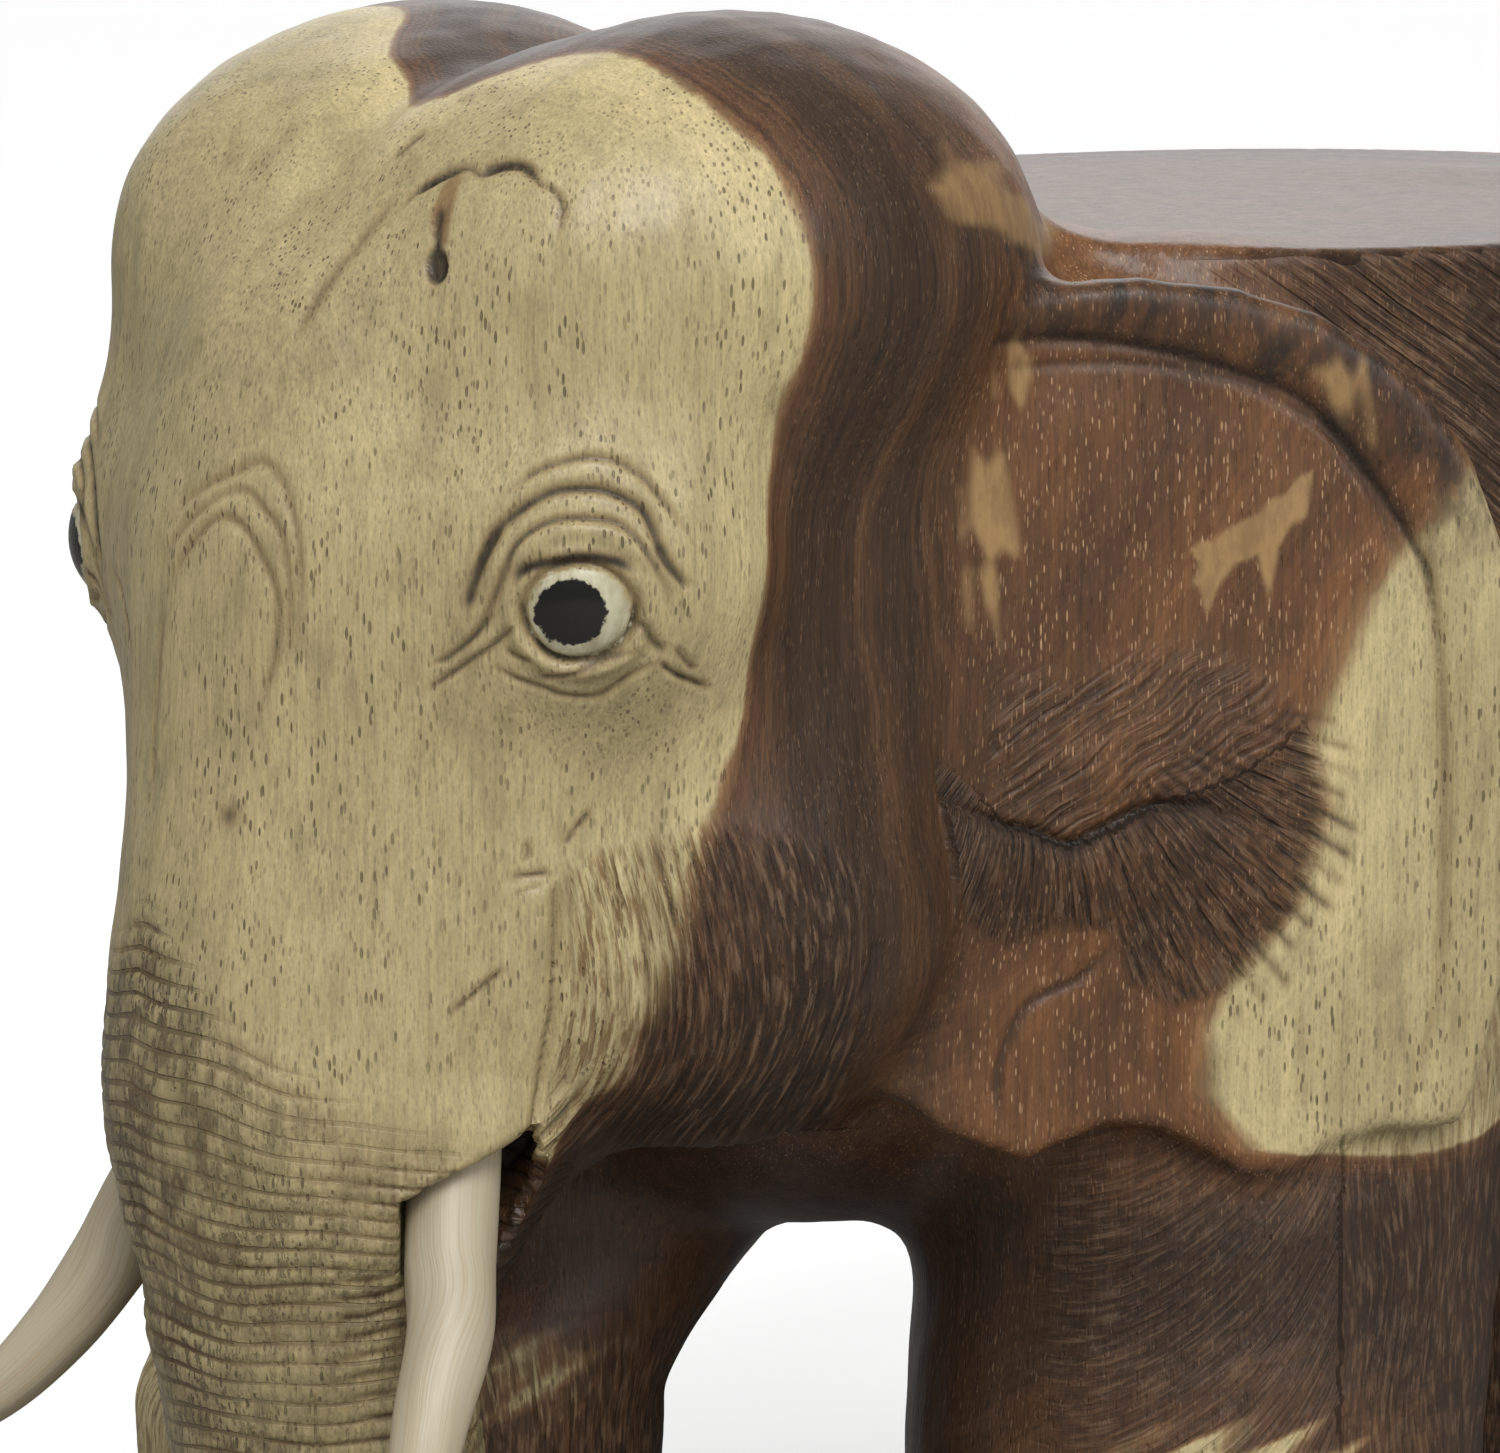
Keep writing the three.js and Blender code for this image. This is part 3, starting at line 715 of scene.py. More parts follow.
def carve_cheeks(carving, p):
    """The sheath's edge and long curved strokes across each cheek. p is mirrored on to the left half."""
    at = np.flatnonzero(within(p.T, (18, -160, 132), (FAR, -62, 202)))
    uv = face_plane(p[at])
    a, b = uv.T
    behind = a - np.interp(b, FLAP_UP, FLAP_SIDEWAYS)
    height_range = window(b, -76, -39, 3)
    step = 0.9 * ridge(np.minimum(behind, 0), 6) * (behind < 0) - 0.9 * ridge(behind, 0.9)
    carving.add(at, step * height_range, 0.6 * ridge(behind, 0.8) * height_range)
    bend = np.where(b > -50, 0.010, 0.017) * (b + 50) ** 2
    flow = a + bend + 0.8 * waves(p[at], 30, 3)
    flutes = 0.5 + 0.5 * np.cos(flow * (2 * np.pi / CHEEK_PITCH))
    top = -27.5 - 0.25 * np.abs(a - 20)
    where = smooth_step(behind, 0.6, 3) * fade(a, 33, 45) * fade(b, top - 4, top + 1)
    where = where * smooth_step(b, -80, -72)
    carving.add(at, 0.3 * flutes * where)
    carving.comb_strokes(at, where, flow, b, (CHEEK_PITCH, 27, 5), (0.65, 0.9, 1))
    carving.engrave(at, uv, CHEEK_LINES)
    left = np.flatnonzero(within(p.T, (18, -FAR, 150), (FAR, -120, 200)))
    carving.engrave(left, face_plane(p[left]), SHORT_STROKES)


# ---------- the trunk

WRINKLE = 3.1


def carve_trunk(carving, p):
    """Wrinkles across the trunk, crossed by short upright cuts, and over its lower part a grey-brown coat
    that is partly dirt, partly painted shade.
    """
    gap = bar(p, TRUNK)
    at = np.flatnonzero((gap < 6) & (p[:, 2] < 184) & (p[:, 1] < -108))
    q = p[at]
    on_trunk = fade(gap[at], 3, 6)
    x = np.where(q[:, 0] < -8, -16 - q[:, 0], q[:, 0])
    z = q[:, 2]
    rise = z + smooth_step(z, 112, 150) * (0.16 * x + 0.002 * x * x) + 0.9 * waves(q, 26, 11)
    side = smooth_step(np.abs(q[:, 0]), 19, 21.5) * smooth_step(q[:, 1], -166, -162)
    front = on_trunk * smooth_step(177 - 0.78 * (x + 8) - z, -1, 3) * np.where(z < 127, 1 - 0.9 * side, 1)
    row, fold = lanes(rise, WRINKLE)
    strength = 0.55 + 0.45 * waves(np.stack([x * 0.9, row * 40], 1), 30, 12)
    line = ridge(fold, 0.12) * np.clip(strength, 0.12, 1)
    carving.add(at, front * (-0.5 * line - 0.02 * np.cos(fold * 2 * np.pi)), front * 0.6 * line)
    turn = np.arctan2(q[:, 0], -(q[:, 1] + 143)) * 25
    patches = np.clip(0.35 + 0.65 * waves(q, 22, 14), 0, 1)
    cross = front * hair(turn, z + row * 1.7, 1.25, 3.4, 15) * patches
    carving.add(at, -0.28 * cross, 0.6 * cross)
    row, fold = lanes(z - 0.12 * (q[:, 1] + 160) + 0.8 * waves(q, 18, 16), WRINKLE)
    gouge = on_trunk * side * fade(z, 124, 128) * ridge(fold, 0.2) * (0.6 + 0.4 * scatter(row))
    carving.add(at, -0.8 * gouge, 0.8 * gouge)
    # The lower trunk gets the dark wrinkle lines and a grey-brown coat, partly dirt and partly painted
    # shade, a third weaker towards the near side (x from 2 to 20).
    wrinkled = on_trunk * smooth_step(181 - 0.78 * (x + 8) - z, 0, 14) * (1 - 0.35 * smooth_step(x, 2, 20))
    marked = wrinkled * np.clip(0.75 + 0.35 * waves(q, 19, 19), 0, 1)
    carving.mark("wrinkled", at, marked, turn, rise)
    blotches = np.clip(0.7 + 0.25 * waves(q, 34, 17) + 0.2 * waves(q, 11, 18), 0, 1)
    carving.spread("dust", at, wrinkled * blotches)


# ---------- the ears' relief

EAR_CREASE = [
    (-6, 251), (6, 251.6), (18.5, 251.8), (27.5, 251.1), (35.5, 249.5), (44.2, 247.1), (52.9, 243.9),
    (58.8, 239.9), (66, 231.5), (72.7, 222), (76.7, 213), (78.9, 193), (79.3, 173.5), (78.7, 154),
    (75.6, 141), (73, 136),
]
EAR_FOLD = [
    (-1, 187), (10.1, 181.7), (15.3, 180.3), (21.5, 177.8), (26.4, 179.8), (33.6, 183), (40.8, 182.7),
    (48.8, 179.8),
]
EAR_LINES = [
    (1.0, 0.6, 0.85, EAR_CREASE),
    (0.8, 0.5, 0.5, [
        (2, 247.5), (18.4, 248), (27.5, 248.1), (35.6, 247.3), (44.2, 245.5), (50.6, 243.1),
        (60.5, 237), (66.5, 229), (70.8, 220.5), (75, 212),
    ]),
    (1.0, 1.2, 0.9, EAR_FOLD),
    (0.8, 0.6, 0.7, [
        (29.2, 163.9), (23.3, 158.4), (16.8, 155.5), (13.6, 151.8), (11, 144.1), (11.7, 135.7),
    ]),
    (0.6, 0.5, 0.6, [(10.5, 196), (9.6, 193.6), (10.9, 192)]),
]
HAIR_ZONE = [
    (0, 193), (6, 188), (12, 182), (21, 178), (27, 180), (34, 183.5), (47, 188), (57, 195), (59.5, 190),
    (60.5, 183), (60, 175), (57, 168), (52.5, 163), (50, 158), (45, 155), (37, 153), (31, 157),
    (27.5, 165), (20, 166), (12, 163), (5, 168), (0, 180),
]
HAIR_CENTRE = (17, 204)
# Filler in the ear: outlines, and how far their edges fade. Most of it is sanded into the grain.
EAR_FILLER = [
    ([
        (58.3, 232.1), (56.7, 225.9), (53.2, 222.1), (52, 221), (51.5, 212.7), (49.6, 220),
        (45.7, 218.4), (43.5, 215.1), (41.8, 211.8), (40.6, 215.2), (38.5, 215.3), (40.5, 218.6),
        (38.8, 220.9), (45.1, 224), (50.3, 226.7), (55.4, 230.5),
    ], 0.4),
    ([(11.6, 250.9), (15.6, 248.6), (16.2, 245.9), (13.4, 242.1), (11.1, 244.9)], 1.4),
    ([
        (6.1, 236.2), (11.2, 235.5), (11.2, 227.2), (13, 221.1), (9.5, 222.3), (4.4, 225.2),
        (3.8, 230.8),
    ], 1.6),
    ([(7, 219), (10, 217), (9, 209), (6.5, 211)], 1.6),
    ([(58.6, 246), (65.6, 247.5), (66.2, 244.1), (64.6, 236.9), (59.9, 240.9)], 1.4),
]


def carve_ears(carving, p, is_left):
    """The rolled rim, the hollow, the fold and the combed hair of each ear. p is on the left half."""
    at = np.flatnonzero(within(ear_axes(p), (-8, 122, -5), (100, 266, 6)))
    back, up, _ = ear_axes(p[at])
    uv = np.stack([back, up], 1)
    crease = smooth_path(EAR_CREASE)
    gap, _ = along_path(uv, crease)
    edge = outline_distance(back, up, EAR_OUTLINE)
    closed = np.concatenate([[(-60, 251), (-60, 60), (70, 60)], crease[::-1]])
    inside = outline_distance(back, up, closed) < 0
    rim = np.where(inside, 0, 1.0) * np.sin(np.clip(gap / np.maximum(gap - edge, 0.1), 0, 1) * np.pi)
    hollow = np.where(inside, -1.2 * ridge(gap, 13), -0.8 * ridge(gap, 3.5))
    upper = 1 - 0.6 * smooth_step(-up, -190, -150)
    carving.add(at, smooth_step(back, 4, 22) * (rim * 0.8 + hollow) * upper)
    above = up - np.interp(back, *np.array([(-8, 190), *EAR_FOLD, (58, 172)]).T)
    swell = np.where(above < 0, 1.6 * ridge(above + 5, 9), -0.9 * ridge(above, 7))
    carving.add(at, swell * window(back, 3, 46, 10))
    carving.engrave(at, uv, EAR_LINES)
    carving.stain[at] *= 1 - 0.45 * smooth_step(back, 70, 80) * fade(up, 205, 225)
    dusty = (1 - inside) * smooth_step(up, 205, 235) * np.clip(0.75 + 0.3 * waves(uv, 16, 24), 0, 1)
    carving.spread("dust", at, dusty * smooth_step(back, -6, 4))
    flow = 0.82 * up - 0.57 * back + 0.6 * waves(uv, 20, 21)
    where = window(above, 3, 20, 7) * window(back, 14, 52, 8)
    carving.comb_strokes(at, where, flow, 0.57 * up + 0.82 * back, (3.3, 26, 22), (0.35, 0.7, 0.6))
    comb_zone(carving, at, uv)
    for patch, blur in EAR_FILLER:
        edge = outline_distance(back, up, patch) + blur * waves(uv * [1, 0.2], 4, 23)
        carving.spread("filler", at, fade(edge, -blur, blur) * is_left[at])


def comb_zone(carving, at, uv):
    """Hair combed away from the top of the ear's fold. Its ends stick out past the zone like teeth."""
    q = uv - np.array(HAIR_CENTRE)
    turn = np.arctan2(q[:, 0], -q[:, 1])
    reach = np.hypot(*q.T)
    edge = outline_distance(uv[:, 0], uv[:, 1], HAIR_ZONE)
    fine = hair(turn * 34 + 0.5 * waves(uv, 12, 31), reach, 1.35, 8.5, 32)
    inside = fade(edge, -1.5, 0.5)
    carving.add(at, -0.3 * fine * inside, inside * (0.25 + 0.35 * fine))
    carving.mark("comb", at, inside, turn * 34 / 2.2, reach)
    row, offset = lanes(turn * 30, 2.1)
    tooth = ridge(offset, 0.22) * (0.4 + 0.6 * scatter(row + 3))
    tooth *= fade(edge, 1.5 + 3.5 * scatter(row), 3.5 + 4 * scatter(row))
    tooth *= smooth_step(turn, 0.35, 0.7) * smooth_step(edge, -6, -2)
    carving.add(at, -0.3 * tooth, 0.9 * tooth)
    carving.spread("dust", at, 0.25 * inside)


# ---------- body, legs and feet

def folded(p):
    """Points with those of the right half mirrored on to the left half."""
    return np.column_stack([np.abs(p[:, 0]), p[:, 1:]])


def off_ears(p):
    """1 away from the ears' plates, 0 on them."""
    back, up, out = ear_axes(folded(p))
    share = np.ones(len(p))
    near = within((back, up, out), (-12, 120, -EAR_THICKNESS - 4), (100, 268, FAR))
    share[near] = smooth_step(outline_distance(back[near], up[near], EAR_OUTLINE), -1, 2)
    return share


# The outline of a tan patch behind the left dome, (forwards, up).
DOME_FILLER = [
    (-90, 275), (-82, 279), (-70, 276), (-58, 270), (-44, 267), (-38, 264), (-44, 261), (-60, 264),
    (-74, 268), (-84, 270),
]


def fill_dome(carving, p):
    at = np.flatnonzero(within(p.T, (36, -98, 254), (FAR, -30, FAR)))
    edge = outline_distance(p[at, 1], p[at, 2], DOME_FILLER) + 1.6 * waves(p[at], 9, 25)
    carving.spread("filler", at, 0.75 * fade(edge, -1.8, 1.4))


def carve_shoulders(carving, p):
    """Hair strokes that fan out over each shoulder and front leg. p is mirrored on to the left half."""
    at = np.flatnonzero(within(p.T, (12, -70, 8), (FAR, 60, 150)))
    q = p[at]
    a, b = face_plane(q).T
    lean = np.clip(0.17 + (a - 73) / 39, 0.1, 1.2)
    flow = b + 39 * np.log(np.cos(lean)) + 0.8 * waves(q, 40, 41)
    where = window(a, 74, 108, 10) * smooth_step(b, -205, -180) * off_ears(q)
    carving.comb_strokes(at, where, flow, a, (3.0, 16, 42), (0.5, 0.45, 0.5))
    where = smooth_step(a, 106, 118) * fade(a, 150, 170) * off_ears(q)
    carving.comb_strokes(at, where, a + waves(q, 40, 43), b, (2.7, 34, 44), (0.55, 0.45, 0.6))


def round_foot(p, name, reach, top):
    """Points near a foot, and how far sideways and backwards they are from its middle."""
    q = p[:, :2] - MOUNTS[name][:2]
    at = np.flatnonzero((np.hypot(*q.T) < reach) & (p[:, 2] < top))
    return at, *q[at].T


def carve_body(carving, p):
    """Long rough hair strokes down the flanks, the rump, the hind legs and the right front leg."""
    x, y, z = p.T
    turn = np.arctan2(np.abs(x), SEAT[1] - y)
    where = smooth_step(turn, 0.5, 0.8) * fade(z, SEAT[2] - 1.6, SEAT[2] - 0.4)
    where *= smooth_step(y + 0.5 * (z - 236), -24, -10) * smooth_step(z, 99, 110) * off_ears(p)
    flow = turn * 96 + 0.005 * np.maximum(z - 120, 0) ** 2 + 1.2 * waves(p, 60, 51)
    carving.comb_strokes(np.arange(len(p)), where, flow, z, (3.2, 26, 52), (0.6, 0.65, 1))
    for name in ("sole_hind_left", "sole_hind_right", "sole_front_right"):
        at, sideways, backwards = round_foot(p, name, 60, 112)
        around, z = np.arctan2(sideways, backwards) * 44, p[at, 2]
        where = window(z, 20, 90, 8)
        strokes = hair(around + 1.2 * waves(p[at], 50, 53), z, 3.4, 22, 54) * where
        carving.add(at, -0.45 * strokes, 0.4 * strokes)
        carving.mark("comb", at, 0.9 * where, around / 3.4, z)


def carve_feet(carving, p):
    """Four toenails on each foot, and a crease above them."""
    for name in SOLES:
        at, sideways, backwards = round_foot(p, name, FOOT + 4, 34)
        turn, up = np.arctan2(sideways, -backwards) * FOOT, p[at, 2]
        on_side = smooth_step(np.hypot(sideways, backwards), FOOT - 6, FOOT - 3)
        for place in (-44, -15, 15, 44):
            reach = np.hypot((turn - place) / 11.5, (up - 3) / 13.5)
            groove = ridge(reach - 1.06, 0.09) * on_side
            nail = 1.8 * np.sqrt(np.maximum(1 - reach**2, 0)) * on_side
            carving.add(at, nail - 0.7 * groove, 0.6 * groove)
        crease = ridge(up - 24 - 1.5 * np.cos(turn / 12), 1.2) * window(turn, -62, 62, 14) * on_side
        carving.add(at, -0.6 * crease, 0.4 * crease)


def carve_tail(carving, p):
    """Hair strokes down the tail's tuft."""
    at = np.flatnonzero(within(p.T, (-4, 172, 84), (28, FAR, 140)))
    x, _, z = p[at].T
    where = fade(tail(p[at]), 0.5, 2)
    carving.comb_strokes(at, where, x - 0.06 * z, z, (2.2, 24, 61), (0.6, 0.6, 1))


def carve(p, plain):
    """Everything the knife does to the block. plain marks the seat, the soles and the sockets."""
    carving = Carving(len(p))
    left = folded(p)
    carve_eyes(carving, left)
    carve_forehead(carving, p)
    carve_cheeks(carving, left)
    carve_trunk(carving, p)
    carve_ears(carving, left, p[:, 0] > 0)
    fill_dome(carving, p)
    carve_shoulders(carving, left)
    carve_body(carving, p)
    carve_feet(carving, p)
    carve_tail(carving, p)
    tool_marks = 0.10 * waves(p, 15, 71) + 0.06 * waves(p, 7, 72)
    carving.height = np.where(plain, 0.02 * tool_marks, carving.height + tool_marks)
    carving.stain = np.where(plain, 0, carving.stain)
    return carving


# ---------- sapwood and heartwood

# Sapwood bared by carving the knees: (centre, radii, how sharp its edge is).
KNEE_SAPWOOD = [
    ((84.0, -40.0, 71.0), (25.0, 23.0, 16.0), 0.4),
    ((-8.0, -92.0, 90.0), (9.5, 9.5, 6.0), 0.25),
]

# The outer edge of the dark heartwood inside the log: half its width and how far forwards it
# reaches, at heights up the head.
EDGE_UP = [124, 131, 140, 150, 158, 168, 182, 192, 203, 213, 225, 240]
EDGE_HALF_WIDTH = [104, 84, 79.5, 79.5, 82.5, 87.5, 90, 88.5, 91, 93, 99, 104]
EDGE_FORWARDS = [158, 157, 152, 149, 151, 149.5, 146.5, 143.5, 139.5, 140.5, 138, 135.5]
EDGE_POWER = 3.7


def heartwood_depth(p):
    """Distance inside the boundary between the cream sapwood and the dark heartwood."""
    x, y, z = p.T
    flank = 90 + 0.0022 * (z - 188) ** 2 + 1.5 * waves(p, 70, 83)
    half_width = np.interp(z, EDGE_UP, EDGE_HALF_WIDTH)
    half_width += (flank - half_width) * smooth_step(y, 4, 36)
    groove = 13 * ridge(x - 8, 11) - 17 * smooth_step(-x, 8, 26)
    forwards = np.interp(z, EDGE_UP, EDGE_FORWARDS) + smooth_step(z, 252, 280) * groove
    forwards = forwards - 26 * fade(z, 90, 110)
    y = y - 15
    reach = np.where(y < 0, forwards, 168)
    inside = ((np.abs(x) / half_width) ** EDGE_POWER + (np.abs(y) / reach) ** EDGE_POWER) ** (1 / EDGE_POWER)
    inside = np.maximum(inside, 0.02)
    depth = np.hypot(x, y) * (1 / inside - 1) + 0.5 * waves(p * [1, 1, 0.35], 26, 81)
    streaks = 3 * waves(face_plane(p) @ np.array([[0.5], [-0.86]]), 5, 84)
    for centre, radii, sharpness in KNEE_SAPWOOD:
        inside = np.linalg.norm((p - centre) / radii, axis=1)
        depth = np.minimum(depth, sharpness * (np.mean(radii) * (inside - 1) + streaks))
    return depth


def dark_heartwood_and_shade(p):
    """1 where the heartwood takes its near-black colours: the face, and, partly as painted shade, the legs,
    the chest and, at 0.75, the body from the shoulders back. 0 on the ears.
    """
    low = fade(p[:, 2], 116, 140)
    behind = 0.75 * smooth_step(p[:, 1], -34, 10)
    face = smooth_step(-p[:, 1], 64, 84)
    return np.maximum(face, np.maximum(low, behind) * off_ears(p))


# ---------- the block's mesh

def edge_limit(p):
    """The longest mesh edge allowed: short where the carving is fine."""
    x, y, z = p.T
    limit = np.full(len(p), 2.3)
    limit[(z > SEAT[2] - 4) & (y > -28)] = 3.2
    limit[(z < 34) & (z > 1)] = 1.9
    head = ((y < -40) & (z > 120)) | ((y < -122) & (np.abs(x) < 34))
    limit[head] = 1.45
    _, up, out = ear_axes(folded(p))
    on_ear = (out > -6) & (up > 126) & (y > -80) & (y < 6) & (np.abs(x) > 48)
    limit[on_ear] = 1.3
    limit[on_ear & (x > 0)] = 0.95
    limit[within(p.T, (20, -62, 62), (FAR, 48, 140)) & (x + y > 10)] = 1.25
    limit[head & (x > -6) & (y < -66)] = 0.95
    limit[(x > 0) & (np.linalg.norm(p - EYE, axis=1) < 22)] = 0.62
    limit[(x < 0) & (np.linalg.norm(mirrored(p) - EYE, axis=1) < 22)] = 0.95
    limit[np.linalg.norm(folded(p) - TUSK_ROOT, axis=1) < 15] = 0.6
    return limit * 1.0


def build_block():
    """The block's points, triangles and carving, and its points before the carving."""
    points, faces = skin(block, BODY_LOW - 8, BODY_HIGH + 8, 3.0)
    points = settle(block, points)
    any_split = True
    while any_split:
        points, faces, any_split = refine(points, faces, edge_limit)
    points = settle(block, points, rounds=1)
    normal = slope(block, points)
    normal /= np.maximum(np.linalg.norm(normal, axis=1), 1e-6)[:, None]
    flat = ((points[:, 2] > SEAT[2] - 0.6) & (points[:, 1] > -38)) | (points[:, 2] < 0.3)
    in_socket = np.minimum(socket(points, LEFT), socket(points, RIGHT)) < 0.4
    carving = carve(points, flat | in_socket)
    carved = points + normal * carving.height[:, None]
    carved[:, 2] = np.maximum(carved[:, 2], 0)
    return carved, faces, carving, points


def add_values(made, name, values):
    attribute = made.data.attributes.new(name, "FLOAT", "POINT")
    attribute.data.foreach_set("value", values.astype(np.float32))


def mesh_object(name, points, faces, material):
    mesh = bpy.data.meshes.new(name)
    mesh.vertices.add(len(points))
    mesh.vertices.foreach_set("co", (points * MM).astype(np.float32).ravel())
    mesh.loops.add(faces.size)
    mesh.loops.foreach_set("vertex_index", faces.astype(np.int32).ravel())
    mesh.polygons.add(len(faces))
    mesh.polygons.foreach_set("loop_start", np.arange(0, faces.size, 3, dtype=np.int32))
    mesh.update(calc_edges=True)
    mesh.polygons.foreach_set("use_smooth", np.ones(len(faces), bool))
    mesh.validate()
    mesh.materials.append(material)
    made = bpy.data.objects.new(name, mesh)
    bpy.context.scene.collection.objects.link(made)
    return made


# ---------- material tools

def paint(red, green, blue):
    """A display colour, 0 to 255, as the linear colour that a shader takes."""
    share = np.array([red, green, blue]) / 255
    linear = np.where(share < 0.04045, share / 12.92, ((share + 0.055) / 1.055) ** 2.4)
    return (*linear, 1.0)


class Value:
    """An output in a node tree. Sums of these make Math nodes."""

    def __init__(self, shader, output):
        self.shader = shader
        self.output = output

    def maths(self, operation, b=0.0):
        return self.shader.out("Math", {0: self, 1: b}, operation=operation)

    def __add__(self, other):
        return self.maths("ADD", other)

    def __sub__(self, other):
        return self.maths("SUBTRACT", other)

    def __mul__(self, other):
        return self.maths("MULTIPLY", other)

    def __truediv__(self, other):
        return self.maths("DIVIDE", other)

    def rest(self):
        """What is left of 1."""
        return self.shader.out("Math", {0: 1.0, 1: self}, operation="SUBTRACT")


class Shader:
    """The node tree of a material or of the world, with short names for the nodes that wood needs."""

    def __init__(self, owner, surface="Principled BSDF"):
        owner.use_nodes = True
        self.owner = owner
        self.tree = owner.node_tree
        self.inputs = self.tree.nodes[surface].inputs

    def node(self, kind, inputs, **settings):
        made = self.tree.nodes.new("ShaderNode" + kind)
        for key, value in settings.items():
            setattr(made, key, value)
        for key, value in inputs.items():
            self.feed(made.inputs[key], value)
        return made

    def out(self, kind, inputs, name=0, **settings):
        return Value(self, self.node(kind, inputs, **settings).outputs[name])

    def feed(self, socket_in, value):
        if isinstance(value, Value):
            self.tree.links.new(value.output, socket_in)
        else:
            socket_in.default_value = value

    def finish(self, **values):
        """Sets the surface's inputs, such as Base_Color, and returns the material or the world."""
        for name, value in values.items():
            self.feed(self.inputs[name.replace("_", " ")], value)
        return self.owner

    def value(self, name):
        return self.out("Attribute", {}, "Fac", attribute_name=name)

    def vector(self, x, y, z=0.0):
        return self.out("CombineXYZ", {"X": x, "Y": y, "Z": z})

    def stretch(self, vector, scale):
        return self.out("VectorMath", {0: vector, 1: scale}, operation="MULTIPLY")

    def along(self, vector, direction):
        inputs = {0: vector, 1: tuple(direction)}
        return self.out("VectorMath", inputs, "Value", operation="DOT_PRODUCT")

    def noise(self, vector, scale=None, detail=2.0):
        place = vector if scale is None else self.stretch(vector, scale)
        inputs = {"Vector": place, "Scale": 1.0, "Detail": detail, "Roughness": 0.6}
        return self.out("TexNoise", inputs, "Fac")

    def cells(self, vector, scale):
        return self.node("TexVoronoi", {"Vector": self.stretch(vector, scale), "Scale": 1.0}, feature="F1")

    def step(self, value, low, high, kind="SMOOTHSTEP"):
        inputs = {"Value": value, "From Min": low, "From Max": high}
        return self.out("MapRange", inputs, "Result", interpolation_type=kind)

    def between(self, share, a, b):
        """A number between two others."""
        return self.out("Mix", {0: share, 2: a, 3: b}, data_type="FLOAT")

    def mix(self, share, a, b):
        """A colour between two others."""
        return self.out("Mix", {0: share, 6: a, 7: b}, 2, data_type="RGBA")

    def ramp(self, share, stops):
        made = self.node("ValToRGB", {"Fac": share})
        bands = made.color_ramp.elements
        while len(bands) < len(stops):
            bands.new(0.5)
        for band, (place, colour) in zip(bands, stops):
            band.position = place
            band.color = colour
        return Value(self, made.outputs["Color"])

    def bump(self, layers):
        """The normal under layers of relief, each (height, distance), lowest first."""
        inputs = {"Strength": 1.0}
        for height, distance in layers:
            inputs.update({"Height": height, "Distance": distance})
            inputs["Normal"] = self.out("Bump", inputs, "Normal")
        return inputs["Normal"]


# ---------- carved wood

CREAM = paint(194, 177, 130)
CREAM_DULL = paint(178, 162, 118)
HONEY = paint(132, 98, 62)
RUST = paint(88, 58, 36)
BROWN = paint(82, 56, 34)
BLACKISH = paint(60, 41, 26)
MID_BROWN = paint(86, 56, 32)
WARM_BROWN = paint(113, 74, 41)
GROOVE = paint(44, 33, 23)
GROOVE_SAPWOOD = paint(122, 92, 56)

# The colours over the depth inside the sapwood boundary, in millimetres: towards the face, where
# the heartwood is near black, and at the sides. On the legs, the chest and the body the near-black
# colours are partly painted shade.
RAMP_FROM, RAMP_TO = -12, 44
FACE_COLOURS = [
    (-12, CREAM_DULL), (-6, CREAM), (-0.8, CREAM), (0.1, HONEY), (1.2, RUST), (5, BROWN), (9, BLACKISH),
    (17, BLACKISH), (21, BROWN), (25, BLACKISH), (31, BROWN), (44, BROWN),
]
SIDE_COLOURS = [
    (-12, CREAM_DULL), (-6, CREAM), (-1.2, CREAM), (0.6, HONEY), (3, WARM_BROWN), (12, MID_BROWN),
    (20, WARM_BROWN), (30, MID_BROWN), (44, WARM_BROWN),
]


def depth_ramp(shader, inwards, colours):
    share = shader.step(inwards, RAMP_FROM, RAMP_TO, "LINEAR")
    span = RAMP_TO - RAMP_FROM
    return shader.ramp(share, [((depth - RAMP_FROM) / span, colour) for depth, colour in colours])


def wood_colour(shader, place, heart):
    """Cream sapwood, then the heartwood's bands, with streaks along the grain and specks."""
    depth, front = shader.value("depth"), shader.value("front")
    grain = shader.noise(place, (520, 520, 24), 4)
    broad = shader.noise(place, (90, 90, 14), 3)
    fine = shader.noise(place, (1700, 1700, 70))
    mottle = shader.noise(place, (150, 150, 60), 4)
    speckle = shader.noise(place, (2400, 2400, 1500))
    inwards = depth + ((grain - 0.5) * 1.6 + (mottle - 0.5) * 2.5)
    face = depth_ramp(shader, inwards, FACE_COLOURS)
    # The near-black face colours also stand for painted shade on the legs, the chest and the body.
    colour = shader.mix(front, depth_ramp(shader, inwards, SIDE_COLOURS), face)
    rings = shader.noise(shader.vector(inwards * 1.4, shader.along(place, (0, 0, 11))), detail=3)
    ringed = shader.between(heart, 0.35, shader.between(front, 0.9, 2.1))
    amount = (rings - 0.5) * ringed + (speckle - 0.5) * 0.5
    amount += shader.between(heart, 0.26, -0.14)
    amount += grain * shader.between(heart, 0.4, 0.9)
    amount += broad * 0.4
    amount += fine * shader.between(heart, 0.65, 1.1)
    colour = shader.out("VectorMath", {0: colour, "Scale": amount}, operation="SCALE")
    blotches = shader.step(mottle, 0.48, 0.7) * 0.42
    return colour, fine, blotches


def pores(shader, place, spacing, few):
    """Short upright vessels, spacing (across, along) apart in mm, and a random value for each."""
    across, along = 1000 / np.array(spacing)
    cells = shader.cells(place, (across, across, along))
    near = shader.step(Value(shader, cells.outputs["Distance"]), 0.2, 0.36).rest()
    pick = shader.node("SeparateColor", {"Color": Value(shader, cells.outputs["Color"])})
    chosen = shader.step(Value(shader, pick.outputs["Red"]), few, few + 0.35)
    return near * chosen, Value(shader, pick.outputs["Green"])


